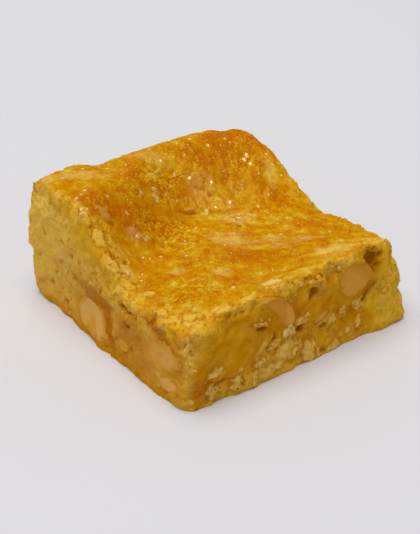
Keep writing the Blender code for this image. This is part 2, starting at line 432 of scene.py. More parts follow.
    def dipped(self, x: Array, y: Array) -> Array:
        """How deep the dips of the top are.

        Args:
            x: Places across.
            y: Places back.

        Returns:
            The depths.
        """
        depth = np.zeros(len(x))
        for place, back, reach, reach_back, deep in self.dips:
            share = np.hypot((x / MM - place) / reach, (y / MM - back) / reach_back)
            depth += deep * MM * ease(share, 1.0, 0.0)
        return depth

    def drawn(self, x: Array, y: Array, way: float, length: float, width: float, seed: float) -> Array:
        """Noise from about -1 to 1, drawn out along one way.

        Args:
            x: Places across.
            y: Places back.
            way: The way, turned from X.
            length: Length of a feature along it.
            width: Its width.
            seed: Where in the noise it is read.

        Returns:
            The noise at each point.
        """
        cos, sin = math.cos(way), math.sin(way)
        points = stack((x * cos + y * sin) / length, (y * cos - x * sin) / width, seed)
        return np.array([noise.noise(point) for point in points.tolist()])

    def wrinkled(self, x: Array, y: Array, length: float, width: float, seed: float) -> Array:
        """Noise from about -1 to 1, drawn out along the way of the wrinkles."""
        return self.drawn(x, y, self.wrinkle_way, length, width, seed)

    def top(self, x: Array, y: Array) -> Array:
        """Height of the baked top with its swells, wrinkles, blisters and rounded edges.

        Args:
            x: Places across.
            y: Places back.

        Returns:
            The heights.
        """
        flat = stack(x, y, 0.0)
        height = self.level(x, y) + self.swells.at(flat)
        height += self.wrinkle_height * self.wrinkled(x, y, *self.wrinkle_size, 5.0)
        height += np.abs(self.blisters.at(flat)) - self.mean_blister * self.blisters.height
        rim = ease((y - self.toe.at(x)) / self.edge_reach)
        radius = self.edge_radius + (self.rim_radius - self.edge_radius) * rim
        inside = np.maximum(0.0, radius - np.maximum(0.0, self.inset(x, y)))
        return height - (radius - np.sqrt(np.maximum(0.0, radius**2 - inside**2)))

    def near_corner(self, x: Array, y: Array, corner: tuple[int, int], reach: float) -> Array:
        """1 at a corner of the square, easing to 0 at that distance from it."""
        return ease(np.hypot(x - corner[0] * self.half, y - corner[1] * self.half), reach, 0.0)

    def foot_spread(self, x: Array, y: Array) -> Array:
        """How far the foot spreads: each side's own spread, blended round the corners.

        Args:
            x: Places across.
            y: Places back.

        Returns:
            The distance at each point.
        """
        outward = self.outward(x, y)
        across = np.where(outward[:, 0] < 0, self.left_foot.at(y), self.far_foot.at(y))
        back = np.where(outward[:, 1] < 0, self.front_foot.at(x), self.far_foot.at(x))
        return outward[:, 0] ** 2 * across + outward[:, 1] ** 2 * back

    def belly(self, x: Array, y: Array, z: Array, top: Array) -> Array:
        """How far a side swells out at its foot, half way up, and at two of the corners.

        Args:
            x: Places across.
            y: Places back.
            z: Heights.
            top: Height of the top there.

        Returns:
            The distance at each point.
        """
        foot = self.foot_spread(x, y) * ease(z, self.foot_height, 0.0)
        corner = sum(far * self.near_corner(x, y, place, reach) for *place, reach, far in self.corner_bellies)
        swell = self.bellies.at(stack(x, y, z), self.mean_belly) + corner
        return foot + swell * np.sin(np.pi * np.clip(z / top, 0.0, 1.0))

    def leant(self, x: Array, y: Array, z: Array, top: Array) -> Array:
        """Points moved by the lean of the far right side and the wear of the front right corner.

        Args:
            x: Places across.
            y: Places back.
            z: Heights.
            top: Height of the top there.

        Returns:
            The moved points.
        """
        share = ease(z / top)
        lean = self.lean * share * ease(self.half - x, self.lean_reach, 0.0)
        wear = self.corner_wear * share * self.near_corner(x, y, (1, -1), self.corner_wear_reach)
        return stack(x - lean - wear, y + wear, z)

    def surface(self, side: Side, run: Array, rise: Array) -> Array:
        """Points of a side's swollen but smooth surface, for places along it and heights.

        Args:
            side: The side.
            run: Places along the side.
            rise: Heights on it.

        Returns:
            The points, one row each.
        """
        x = np.full(len(run), side.value[0] * self.half) if side.value[0] else run
        y = np.full(len(run), side.value[1] * self.half) if side.value[1] else run
        top = self.level(x, y)
        return self.leant(x, y, rise, top) + self.outward(x, y) * self.belly(x, y, rise, top)[:, None]


FORM = CakeForm()


# ---------------------------------------------------------------- shader graphs


class Wire:
    """One value in a shader, with arithmetic that adds Math nodes."""

    def __init__(self, graph: "Graph", socket: bpy.types.NodeSocket) -> None:
        """Keeps the graph and the output socket that carries the value."""
        self.graph = graph
        self.socket = socket

    def _math(self, operation: str, *values: "Wire | float") -> "Wire":
        """A Math node on these values."""
        return self.graph.node("ShaderNodeMath", {"operation": operation}, dict(enumerate(values)))

    def __add__(self, other: "Wire | float") -> "Wire":
        """Sum."""
        return self._math("ADD", self, other)

    def __sub__(self, other: "Wire | float") -> "Wire":
        """Difference."""
        return self._math("SUBTRACT", self, other)

    def __rsub__(self, other: float) -> "Wire":
        """Difference from a number."""
        return self._math("SUBTRACT", other, self)

    def __mul__(self, other: "Wire | float") -> "Wire":
        """Product."""
        return self._math("MULTIPLY", self, other)

    __radd__ = __add__
    __rmul__ = __mul__

    def clamped(self) -> "Wire":
        """The value held between 0 and 1."""
        return self.graph.node("ShaderNodeClamp", {}, {"Value": self})

    def over(self, low: float, high: float) -> "Wire":
        """0 up to the low value, 1 from the high value, and an ease between them."""
        inputs = {"Value": self, "From Min": low, "From Max": high}
        return self.graph.node("ShaderNodeMapRange", {"interpolation_type": "SMOOTHSTEP"}, inputs)


class Graph:
    """The node graph of one material."""

    def __init__(self, name: str) -> None:
        """Starts a material of that name with only its output.

        Args:
            name: Its name.
        """
        self.material = bpy.data.materials.new(name)
        self.material.use_nodes = True
        self.tree = self.material.node_tree
        self.tree.nodes.clear()

    @staticmethod
    def _socket(sockets: bpy.types.bpy_prop_collection, key: int | str) -> bpy.types.NodeSocket:
        """A node's socket by its number, its identifier or its name.

        Args:
            sockets: The node's inputs or outputs.
            key: The number, identifier or name.

        Returns:
            The socket.
        """
        if isinstance(key, int):
            return sockets[key]
        return next((s for s in sockets if s.identifier == key), None) or sockets[key]

    @staticmethod
    def _set_stops(ramp: bpy.types.ColorRamp, stops: Sequence[tuple[float, Colour]]) -> None:
        """Gives a ramp its colours at their positions.

        Args:
            ramp: The ramp.
            stops: Its (position, colour) pairs.
        """
        while len(ramp.elements) < len(stops):
            ramp.elements.new(1.0)
        for element, (position, colour) in zip(ramp.elements, stops):
            element.position = position
            element.color = (*colour, 1.0)

    def add(self, kind: str, settings: dict, inputs: dict) -> bpy.types.Node:
        """Adds a node.

        Args:
            kind: The node's type.
            settings: Its own settings; "stops" gives a ramp's (position, colour) pairs.
            inputs: Values or wires for its sockets.

        Returns:
            The node.
        """
        made = self.tree.nodes.new(kind)
        for key, value in settings.items():
            if key == "stops":
                self._set_stops(made.color_ramp, value)
            else:
                setattr(made, key, value)
        for key, value in inputs.items():
            socket = self._socket(made.inputs, key)
            if isinstance(value, Wire):
                self.tree.links.new(value.socket, socket)
            elif isinstance(value, tuple) and socket.type == "RGBA":
                socket.default_value = (*value, 1.0)
            else:
                socket.default_value = value
        return made

    def node(self, kind: str, settings: dict, inputs: dict, output: int | str = 0) -> Wire:
        """Adds a node and returns the wire from one of its outputs."""
        return Wire(self, self._socket(self.add(kind, settings, inputs).outputs, output))

    def mask(self, name: str) -> Wire:
        """One of the mesh's own masks."""
        return self.node("ShaderNodeAttribute", {"attribute_name": name}, {}, "Fac")

    def place(self) -> Wire:
        """The point's place on the object."""
        return self.node("ShaderNodeTexCoord", {}, {}, "Object")

    def noise(self, size: float, detail: float, output: str = "Fac") -> Wire:
        """Cloudy noise from 0 to 1 with features of that size."""
        inputs = {"Vector": self.place(), "Scale": 1 / size, "Detail": detail}
        return self.node("ShaderNodeTexNoise", {}, inputs, output)

    def bent(self, size: float, reach: float) -> Wire:
        """The point's place, moved about by cloudy noise of that size as far as that reach."""
        inputs = {0: self.noise(size, 1.0, "Color"), 1: (reach,) * 3, 2: self.place()}
        return self.node("ShaderNodeVectorMath", {"operation": "MULTIPLY_ADD"}, inputs)

    def grains(self, size: float, place: Wire) -> tuple[Wire, Wire]:
        """Scattered grains of that size: how far from the middle of one, and its own value from 0 to 1."""
        node = self.add("ShaderNodeTexVoronoi", {}, {"Vector": place, "Scale": 1 / size})
        return Wire(self, node.outputs["Distance"]), Wire(self, node.outputs["Color"])

    def mix(self, first: Wire | Colour, second: Wire | Colour, factor: Wire | float) -> Wire:
        """A colour between two colours."""
        inputs = {"Factor_Float": factor, "A_Color": first, "B_Color": second}
        return self.node("ShaderNodeMix", {"data_type": "RGBA"}, inputs, "Result_Color")

    def bump(self, height: Wire, distance: float, strength: float = 1.0) -> Wire:
        """A normal that follows a height."""
        inputs = {"Height": height, "Distance": distance, "Strength": strength}
        return self.node("ShaderNodeBump", {}, inputs, "Normal")

    def finish(
        self, inputs: dict, shine: dict | None = None, share: Wire | float = 0.0
    ) -> bpy.types.Material:
        """Adds the Principled shader, matt unless its inputs say otherwise.

        Args:
            inputs: The shader's inputs.
            shine: Inputs of a second, metallic one that lies over it, if there is one.
            share: How much of the surface the second one takes.

        Returns:
            The material.
        """
        shader = self.node("ShaderNodeBsdfPrincipled", {}, {"Specular IOR Level": 0.0, **inputs}, "BSDF")
        if shine is not None:
            glossy = self.node("ShaderNodeBsdfPrincipled", {}, {"Metallic": 1.0, **shine}, "BSDF")
            shader = self.node("ShaderNodeMixShader", {}, {0: share, 1: shader, 2: glossy})
        self.add("ShaderNodeOutputMaterial", {}, {"Surface": shader})
        return self.material


# ---------------------------------------------------------------- finishes


class Tone(Enum):
    """Masks that the cake's mesh carries for its finish."""

    CRUST = "crust"
    BROWN = "browned"
    # Real pale crumb, and painted light on raised flakes, peaks and bubble rims.
    PALE = "pale_crumb"
    GOLD = "golden_crumb"
    TAN = "tan_crumb"
    # Real amber of the moist crumb, and painted shade in the lows and between clods.
    AMBER = "amber_crumb"
    RED = "reddened_crumb"
    # Painted sheen, pale pink, along the top's streaks.
    SHEEN = "sugar_streak"
    # Painted shade in pits, cracks, creases and pores and round the foot of raised flakes; also the darker
    # streaks of the knife's smear.
    PIT = "pit"
    GLAZE = "glaze"
    ROUGH = "broken_crumb"
    # Where a highlight is painted on the beads.
    GLINT = "glint"


@dataclass(frozen=True)
class CakeFinish:
    """Baked crust over moist crumb, mixed by the mesh's masks and fine noise.

    Attributes:
        wet: Tint of the thin shine.
        spark: Tint of the shine on a sugar bead.
        crust_stops: Colours of the crust from the palest to the most browned.
        cloud_size: Length of the broadest clouds of tone; so speck_size and grit_size for finer ones.
        coarse_grain: Spacing of the coarse grains; so fine_grain, and bead_spacing for sugar beads.
        bend_size: Length of the bends that make the grains uneven, which reach bend_reach.
        relief: Height of the finest relief.
        glow_depth: How deep light goes into the crumb.
    """

    pale: Colour = linear(240, 202, 104)
    gold: Colour = linear(230, 177, 32)
    tan: Colour = linear(224, 176, 86)
    amber: Colour = linear(208, 140, 4)
    # Colour of the painted shade in pits, creases and pores, and the darker side of the grains' own uneven
    # tone.
    deep: Colour = linear(182, 108, 2)
    red: Colour = linear(182, 102, 20)
    # Colour of the painted sheen along the streaks.
    sheen_pink: Colour = linear(218, 160, 88)
    light: Colour = linear(237, 187, 30)
    # Colour of the highlight painted on the beads.
    glint: Colour = linear(255, 236, 176)
    wet: Colour = (1.0, 0.66, 0.06)
    spark: Colour = (1.0, 0.86, 0.46)
    crust_stops: tuple[tuple[float, Colour], ...] = (
        (0.0, linear(224, 190, 82)),
        (0.3, linear(212, 160, 26)),
        (0.55, linear(203, 137, 1)),
        (0.8, linear(199, 120, 0)),
        (1.0, linear(190, 100, 0)),
    )
    cloud_size: float = 2.4 * MM
    speck_size: float = 0.95 * MM
    grit_size: float = 0.4 * MM
    coarse_grain: float = 1.15 * MM
    fine_grain: float = 0.6 * MM
    bead_spacing: float = 1.1 * MM
    bend_size: float = 1.5 * MM
    bend_reach: float = 0.7 * MM
    relief: float = 0.36 * MM
    glow_depth: float = 0.9 * MM

    def material(self) -> bpy.types.Material:
        """Builds the material: crumb, crust over it, then pale flakes, painted shade in creases and pits,
        grains, and beads with a painted highlight.

        Returns:
            The material.
        """
        g = Graph("baked_cake")
        tone = {tone: g.mask(tone.value) for tone in Tone}
        crust, rough, glaze = tone[Tone.CRUST], tone[Tone.ROUGH], tone[Tone.GLAZE]
        cloud, speck = g.noise(self.cloud_size, 3.0) - 0.5, g.noise(self.speck_size, 2.0) - 0.5
        grit = g.noise(self.grit_size, 1.0) - 0.5
        place = g.bent(self.bend_size, self.bend_reach)
        coarse, coarse_own = g.grains(self.coarse_grain, place)
        fine, fine_own = g.grains(self.fine_grain, place)
        bead, bead_own = g.grains(self.bead_spacing, g.place())
        broken = (crust * 0.12 + rough * (0.72 + crust * 0.13) + 0.06).clamped()
        own = ((coarse_own - 0.5) * 0.6 + (fine_own - 0.5) * 0.6) * broken
        crumb = g.mix(self.gold, self.tan, (tone[Tone.TAN] + cloud * 0.4).clamped())
        crumb = g.mix(crumb, self.amber, (tone[Tone.AMBER] * (1 + cloud * 0.9 - own * 1.1)).clamped())
        for name, colour in ((Tone.GOLD, self.gold), (Tone.RED, self.red)):
            crumb = g.mix(crumb, colour, (tone[name] * (1 + speck * 0.8)).clamped())
        heat = tone[Tone.BROWN] + cloud * 0.5 + speck * (rough + 0.4) - own * 0.7
        baked = g.node("ShaderNodeValToRGB", {"stops": self.crust_stops}, {"Fac": heat.clamped()}, "Color")
        # Painted sheen along the streaks.
        baked = g.mix(baked, self.sheen_pink, tone[Tone.SHEEN])
        colour = g.mix(crumb, baked, crust)
        colour = g.mix(colour, self.pale, (tone[Tone.PALE] * (1 + speck * 1.2 + own * 1.5)).clamped())
        # Painted shade: amber in the creases between grains.
        colour = g.mix(colour, self.amber, coarse.over(0.45, 0.85) * rough * 0.6)
        # Painted shade: the deep colour in pits, creases and pores, and in the smear's darker streaks.
        colour = g.mix(colour, self.deep, tone[Tone.PIT])
        uneven = own * 1.3 + grit * broken * 1.1
        colour = g.mix(colour, self.deep, (uneven * -1.1).clamped())
        colour = g.mix(colour, self.light, (uneven * 1.1).clamped())
        colour = g.mix(colour, self.light, (grit + speck * 0.6).over(0.10, 0.26) * broken * 0.45)
        glossy = (cloud + crust * 0.10 + glaze * 0.15).over(-0.02, 0.10)
        # The beads' glint: a highlight painted into the base colour, and a share of the metallic shine.
        glint = (1 - bead.over(0.10, 0.20)) * bead_own.over(0.58, 0.68) * glossy * (crust * 0.8 + 0.2)
        glint = (glint + tone[Tone.GLINT]).clamped()
        grains = (coarse * coarse * -0.9 + fine * fine * -0.35) * broken + speck * 0.25 + grit * broken * 0.3
        normal = g.bump(grains - bead * glint * 0.3, self.relief)
        return g.finish(
            {
                "Base Color": g.mix(colour, self.glint, glint * 0.6),
                "Roughness": 0.8,
                "Normal": normal,
                "Subsurface Weight": 0.2,
                "Subsurface Radius": (1.0, 0.42, 0.1),
                "Subsurface Scale": self.glow_depth,
            },
            {
                "Base Color": g.mix(self.wet, self.spark, glint),
                "Roughness": (0.28 + grit * 0.4).clamped(),
                "Normal": normal,
            },
            (glossy * crust * 0.05 + glaze * 0.04 + glint * 0.36).clamped(),
        )


@dataclass(frozen=True)
class NutFinish:
    """Waxy cut macadamia: pale lobes that darken to amber at the rim.

    Attributes:
        body: Colour of the middle of a lobe; glow that of its edge.
        shine: Tint of the thin shine, which takes shine_share of the surface.
        cloud_size: Length of the clouds of tone; so speck_size for the finer ones.
        glow_depth: How deep light goes into the nut.
        relief: Height of the finest relief.
    """

    body: Colour = linear(228, 172, 90)
    glow: Colour = linear(220, 153, 48)
    rim: Colour = linear(202, 132, 28)
    shine: Colour = (1.0, 0.80, 0.35)
    shine_share: float = 0.03
    cloud_size: float = 2.2 * MM
    speck_size: float = 0.7 * MM
    glow_depth: float = 1.2 * MM
    relief: float = 0.10 * MM

    def material(self) -> bpy.types.Material:
        """Builds the material.

        Returns:
            The material.
        """
        g = Graph("macadamia")
        cloud, speck = g.noise(self.cloud_size, 2.0), g.noise(self.speck_size, 2.0)
        lobe = (g.mask("lobe") * (1 + (cloud - 0.5) * 0.6) + (speck - 0.5) * 0.12).clamped()
        colour = g.mix(self.rim, self.glow, (lobe * 2.0).clamped())
        return g.finish(
            {
                "Base Color": g.mix(colour, self.body, (lobe * 2.0 - 1.0).clamped()),
                "Roughness": 0.7,
                "Subsurface Weight": 0.3,
                "Subsurface Radius": (1.0, 0.6, 0.3),
                "Subsurface Scale": self.glow_depth,
                "Normal": g.bump(speck, self.relief, 0.7),
            },
            {"Base Color": self.shine, "Roughness": 0.45},
            self.shine_share,
        )


@dataclass(frozen=True)
class CrumbFinish:
    """Clinging crumbs, each with its own tone."""

    pale: Colour = linear(236, 198, 116)
    golden: Colour = linear(216, 160, 42)
    speck_size: float = 0.5 * MM
    relief: float = 0.2 * MM

    def material(self) -> bpy.types.Material:
        """Builds the material.

        Returns:
            The material.
        """
        g = Graph("loose_crumb")
        speck = g.noise(self.speck_size, 2.0)
        colour = g.mix(self.pale, self.golden, (g.mask("golden") + (speck - 0.5) * 0.5).clamped())
        return g.finish({"Base Color": colour, "Roughness": 0.8, "Normal": g.bump(speck, self.relief, 0.8)})


@dataclass(frozen=True)
class FloorFinish:
    """Plain pale floor."""

    colour: Colour = linear(226, 225, 228)

    def material(self) -> bpy.types.Material:
        """Builds the material."""
        inputs = {"Base Color": self.colour, "Roughness": 0.75, "Specular IOR Level": 0.2}
        return Graph("pale_floor").finish(inputs)


# ---------------------------------------------------------------- modelling by hand, in code


def started(add: Callable[..., set], name: str, **settings: object) -> bpy.types.Object:
    """A new piece from one of Blender's primitives, in edit mode.

    Args:
        add: The operator that adds the primitive.
        name: The piece's name.
        settings: The operator's own settings.

    Returns:
        The piece.
    """
    if bpy.context.mode != "OBJECT":
        bpy.ops.object.mode_set(mode="OBJECT")
    bpy.ops.object.select_all(action="DESELECT")
    add(**settings)
    piece = bpy.context.object
    piece.name = piece.data.name = name
    bpy.ops.object.transform_apply(location=True, rotation=False, scale=False)
    bpy.ops.object.mode_set(mode="EDIT")
    bpy.ops.mesh.select_all(action="SELECT")
    return piece


def pick_edges(piece: bpy.types.Object, test: Callable[[bmesh.types.BMEdge], bool]) -> None:
    """Selects the edges of a piece in edit mode that pass a test.

    Args:
        piece: The piece.
        test: Whether an edge is selected.
    """
    bpy.ops.mesh.select_mode(type="EDGE")
    bpy.ops.mesh.select_all(action="DESELECT")
    mesh = bmesh.from_edit_mesh(piece.data)
    for edge in mesh.edges:
        if test(edge):
            edge.select_set(True)
    bmesh.update_edit_mesh(piece.data)


def coordinates(piece: bpy.types.Object) -> Array:
    """A piece's vertex coordinates, one row each.

    Args:
        piece: The piece.

    Returns:
        The coordinates, in metres.
    """
    values = np.empty(len(piece.data.vertices) * 3, np.float32)
    piece.data.vertices.foreach_get("co", values)
    return values.reshape(-1, 3).astype(float)


def set_coordinates(piece: bpy.types.Object, points: Array) -> None:
    """Moves a piece's vertices."""
    piece.data.vertices.foreach_set("co", points.astype(np.float32).ravel())
    piece.data.update()


def set_mask(piece: bpy.types.Object, name: str, values: Array) -> None:
    """Stores a value from 0 to 1 at each vertex for the finish."""
    made = piece.data.attributes.new(name, "FLOAT", "POINT")
    made.data.foreach_set("value", np.clip(values, 0.0, 1.0).astype(np.float32))


def dress(piece: bpy.types.Object, finish: bpy.types.Material) -> None:
    """Gives a piece its finish and its body.

    Args:
        piece: The piece.
        finish: Its material.
    """
    piece.data.materials.clear()
    piece.data.materials.append(finish)
    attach(piece, BODY)
    log.info("%s: %d faces", piece.name, len(piece.data.polygons))


# ---------------------------------------------------------------- the cake


class Skin:
    """Points of one side or of the top, with the relief and the tones given to them so far.

    Attributes:
        RAGGED: Fine noise that makes outlines ragged.
        DRIFT: Broader noise that moves the edges of tones about.
        FLAKES: Flakes of crumb that lie on what is raised.
    """

    RAGGED = (Lumps(1.3 * MM, 0.34, 71.0), Lumps(0.7 * MM, 0.16, 73.0))
    DRIFT = (Lumps(3.4 * MM, 0.40, 61.0), Lumps(1.2 * MM, 0.26, 67.0))
    FLAKES = Clods(1.5 * MM, 1.0, 83.0, 3)

    def __init__(self, side: Side, run: Array, rise: Array, points: Array) -> None:
        """Starts flat and without tones.

        Args:
            side: The side.
            run: How far along it each point is.
            rise: How high, or how far back on the top.
            points: The points that noise is read at.
        """
        self.side, self.run, self.rise = side, run, rise
        self.relief = np.zeros(len(run))
        self.tones = {tone: np.zeros(len(run)) for tone in Tone}
        self.ragged = sum(lumps.at(points) for lumps in self.RAGGED)
        self.drift = sum(lumps.at(points) for lumps in self.DRIFT)
        self.flakes = self.FLAKES.at(points)

    def _here(self, spots: Sequence[Spot]) -> Iterator[tuple[Spot, Array]]:
        """The spots of this side, each with the share of it at every point."""
        return ((spot, spot.share(self.run, self.rise)) for spot in spots if spot.side is self.side)

    def tint(self, tone: Tone, strength: Array) -> None:
        """Gives a tone that strength where it is weaker."""
        self.tones[tone] = np.maximum(self.tones[tone], strength)

    def paint(self, patches: dict[Tone, tuple[Spot, ...]]) -> None:
        """Gives each tone its soft, ragged patches on this side.

        Args:
            patches: The patches by tone.
        """
        for tone, spots in patches.items():
            for spot, share in self._here(spots):
                self.tint(tone, spot.depth * ease(share + self.drift, 1.3, 0.55))

    def sink(self, pits: Sequence[Spot]) -> None:
        """Hollows the ragged pits, cracks and holes of this side and paints shade into them.

        Args:
            pits: Pits, cracks and holes.
        """
        for pit, share in self._here(pits):
            hollow = np.clip(1 - np.maximum(0.0, share + 1.6 * self.ragged) ** 2, 0.0, 1.0)
            self.relief -= pit.depth * MM * hollow
            # Painted shade in the hollow.
            self.tint(Tone.PIT, ease(1.4 * hollow) * min(1.0, 0.4 + 0.5 * pit.depth))

    def dent(self, dents: Sequence[Spot]) -> None:
        """Presses in the broad smooth dents of this side."""
        for dent, share in self._here(dents):
            self.relief -= dent.depth * MM * ease(share, 1.0, 0.0)

    def lift(self, lumps: Sequence[Spot]) -> None:
        """Raises the torn flakes of pale crumb of this side, with steep ragged edges, and paints a shadow
        round their foot.

        Args:
            lumps: The flakes.
        """
        paleness = (0.4 if self.side is Side.TOP else 1.1) * (0.12 + 1.1 * self.flakes)
        for lump, share in self._here(lumps):
            share += 1.9 * self.ragged
            up = ease(share, 1.12, 0.84)
            self.relief += up * (lump.depth * MM * (0.5 + 0.5 * self.flakes) - 0.6 * self.relief)
            self.tint(Tone.PALE, paleness * up)
            self.tones[Tone.PIT] *= 1 - up
            # Painted shadow round the flake's foot.
            self.tint(Tone.PIT, 1.7 * lump.depth * ease(share, 1.5, 1.2) * (1 - up))
            self.tones[Tone.ROUGH] *= 1 - 0.5 * up

    def ring(self, rings: Sequence[Spot]) -> None:
        """Raises the rims of burst bubbles and paints a highlight on them.

        Args:
            rings: The rims.
        """
        for ring, share in self._here(rings):
            rim = np.clip(1 - ((share + 1.3 * self.ragged - 1) / 0.4) ** 2, 0.0, 1.0)
            rim *= np.clip(1.6 * self.flakes, 0.1, 1.0)
            self.relief += ring.depth * MM * rim
            # Painted highlight on the rim.
            self.tint(Tone.PALE, 0.35 * rim)

    def sparkle(self, sparks: Sequence[tuple[float, float, float]]) -> None:
        """Raises tiny beads that catch the light, at places with radii in millimetres, and marks them for a
        painted highlight.

        Args:
            sparks: Places and radii of the beads.
        """
        for along, up, radius in sparks:
            bead = ease(np.hypot(self.run / MM - along, self.rise / MM - up), radius, 0.0)
            self.relief += 0.25 * radius * MM * bead
            # Marks where the finish paints a highlight.
            self.tint(Tone.GLINT, ease(1.3 * bead))


@dataclass(frozen=True)
class Cut:
    """How the crumb of a cut is where the knife smeared it moist, or where it stayed dry.

    Attributes:
        tone: Its main tone, and how strong that is below the paler lip at the top.
        lip: How strong the lip is at its top, how many millimetres it takes to fade and how it drifts.
        patches: How broken the crumb is in its rougher patches.
        lip_rough: How much rougher the lip and the pale patches are.
        gap_shade: How strong the painted shade, amber, is between its clods: everywhere, and where it is
            rough.
        dryness: How open its pores are.
        calm: How much less the painted light on the peaks shows on the lip.
        smeared: Whether the knife drew it out in streaks.
    """

    tone: tuple[Tone, float]
    lip: tuple[float, float, float]
    patches: Lumps
    lip_rough: float
    gap_shade: tuple[float, float]
    dryness: float
    calm: float
    smeared: bool


MOIST = Cut(
    (Tone.AMBER, 0.95), (0.9, 1.2, 0.9), Lumps(5.0 * MM, 0.9, 47.0), 0.5, (0.0, 0.9), 0.5, 0.55, True
)
DRY = Cut((Tone.TAN, 0.8), (1.1, 5.0, 1.1), Lumps(5.0 * MM, 0.5, 47.0), 0.2, (0.5, 0.0), 1.0, 0.0, False)
CUTS = {Side.FRONT: MOIST, Side.LEFT: DRY, Side.FAR_RIGHT: DRY, Side.FAR_LEFT: MOIST}


@dataclass
class Cake:
    """The cake: a gridded block with a shaped top, shaped sides and the masks of its finish.

    Attributes:
        pits: Pits, cracks and holes, with depths in millimetres.
        dents: Broad shallow dents of the sides, with depths in millimetres.
        lumps: Lumps of pale crumb, with heights in millimetres.
        rings: Rims of burst bubbles, with heights in millimetres.
        sparks: Places and radii of shining beads on the top, in millimetres, each with a painted highlight.
        patches: Where each tone lies, and how strong it is.
        nuts: The nuts that the cake is hollowed for.
        streaks: Where on the top sugar dried in streaks.
        form: The large form that it follows.
        crumbs: Relief of the sides; so grit for the finer part, and lip for that of their upper edge.
        clods: Relief of broken crumb; so boulders, plates, flakes, grain and fine_grain.
        bubbles: Burst bubbles of the crust, which gather where bubbly is high.
        pores: Pores of the crumb, on the top where porous is high.
        grainy: Where the crust is a little broken.
        heat_clouds: How uneven the browning is; so heat_specks for the finer part.
        crust_rise: How far whole crust stands above torn crumb.
        streak_size: Length and width of a streak; so fine_streak_size and smear_size.
        smear_way: The way that the knife drew the crumb, turned up from the level.
        torn_left: How far in from the left side the crust is torn off; so torn_front and torn_far.
        pale_front: How far back from the front the crust is less browned; so pale_edge all round.
        bite: How deep the torn crumb is bitten away within bite_reach of the front.
        side_reach: How far inside the outline the relief of the sides still moves the top.
        crust_depth: How far down the sides the crust shows.
    """

    pits: tuple[Spot, ...]
    dents: tuple[Spot, ...]
    lumps: tuple[Spot, ...]
    rings: tuple[Spot, ...]
    sparks: tuple[tuple[float, float, float], ...]
    patches: dict[Tone, tuple[Spot, ...]]
    nuts: tuple["Nut", ...]
    streaks: Spot
    form: CakeForm = FORM
    cells_across: int = 208
    cells_up: int = 58
    base_inset: float = 0.6 * MM
    crumbs: Lumps = Lumps(4.0 * MM, 0.75 * MM, 11.0)
    grit: Lumps = Lumps(2.1 * MM, 0.30 * MM, 17.0)
    lip: Lumps = Lumps(4.2 * MM, 0.70 * MM, 23.0)
    lip_height: float = 3.0 * MM
    mean_lip: float = -0.6
    clods: Clods = Clods(2.1 * MM, 0.28 * MM, 4.0, 4)
    boulders: Clods = Clods(4.6 * MM, 0.40 * MM, 14.0, 2)
    plates: Plates = Plates(4.2 * MM, 0.34 * MM, 6.0)
    flakes: Plates = Plates(2.2 * MM, 0.24 * MM, 8.0)
    grain: Lumps = Lumps(1.0 * MM, 0.20 * MM, 51.0)
    fine_grain: Lumps = Lumps(0.6 * MM, 0.16 * MM, 53.0)
    bubbles: Bubbles = Bubbles(1.7 * MM, 0.95 * MM, 0.22 * MM, 9.0)
    pores: Bubbles = Bubbles(2.2 * MM, 0.62 * MM, 0.45 * MM, 19.0)
    bubbly: Lumps = Lumps(5.0 * MM, 1.6, 33.0)
    grainy: Lumps = Lumps(6.0 * MM, 1.5, 35.0)
    porous: Lumps = Lumps(4.0 * MM, 1.5, 39.0)
    heat_clouds: Lumps = Lumps(6.5 * MM, 0.42, 31.0)
    heat_specks: Lumps = Lumps(2.2 * MM, 0.40, 37.0)
    crust_rise: float = 0.22 * MM
    streak_size: tuple[float, float] = (6.5 * MM, 1.5 * MM)
    streak_height: float = 0.22 * MM
    fine_streak_size: tuple[float, float] = (3.6 * MM, 0.75 * MM)
    fine_streak_height: float = 0.13 * MM
    smear_size: tuple[float, float] = (8.0 * MM, 2.0 * MM)
    smear_way: float = math.radians(40.0)
    torn_left: Profile = Profile(
        ((-31, 7.0), (-24, 6.0), (-16, 5.0), (-8, 4.6), (0, 5.4), (6, 4.8), (12, 2.4), (20, 1.4), (31, 1.2))
    )
    torn_front: Profile = Profile(
        ((-31, 7.0), (-24, 5.0), (-14, 3.0), (-4, 2.2), (6, 2.6), (14, 4.6), (24, 4.4), (31, 4.0))
    )
    torn_far: float = 1.9 * MM
    torn_raggedness: tuple[Lumps, Lumps] = (Lumps(4.5 * MM, 2.2 * MM, 41.0), Lumps(1.6 * MM, 1.4 * MM, 43.0))
    pale_front: float = 8.0 * MM
    pale_edge: float = 3.2 * MM
    bite_reach: float = 3.0 * MM
    bite: float = 0.7 * MM
    side_reach: float = 1.6 * MM
    crust_depth: float = 0.8 * MM

    def _block(self) -> bpy.types.Object:
        """An open-bottomed block of fine cells, 1 across and 1 high, its top a primitive grid.

        Returns:
            The block, its cells still unshaped.
        """
        cells = {"x_subdivisions": self.cells_across, "y_subdivisions": self.cells_across}
        piece = started(
            bpy.ops.mesh.primitive_grid_add, "blondie_cake", **cells, size=1.0, location=(0, 0, 1)
        )
        pick_edges(piece, lambda edge: edge.is_boundary)
        bpy.ops.mesh.extrude_region_move(TRANSFORM_OT_translate={"value": (0, 0, -1)})
        pick_edges(piece, lambda edge: abs(edge.verts[0].co.z - edge.verts[1].co.z) > 0.5)
        bpy.ops.mesh.subdivide(number_cuts=self.cells_up - 1)
        bpy.ops.object.mode_set(mode="OBJECT")
        return piece

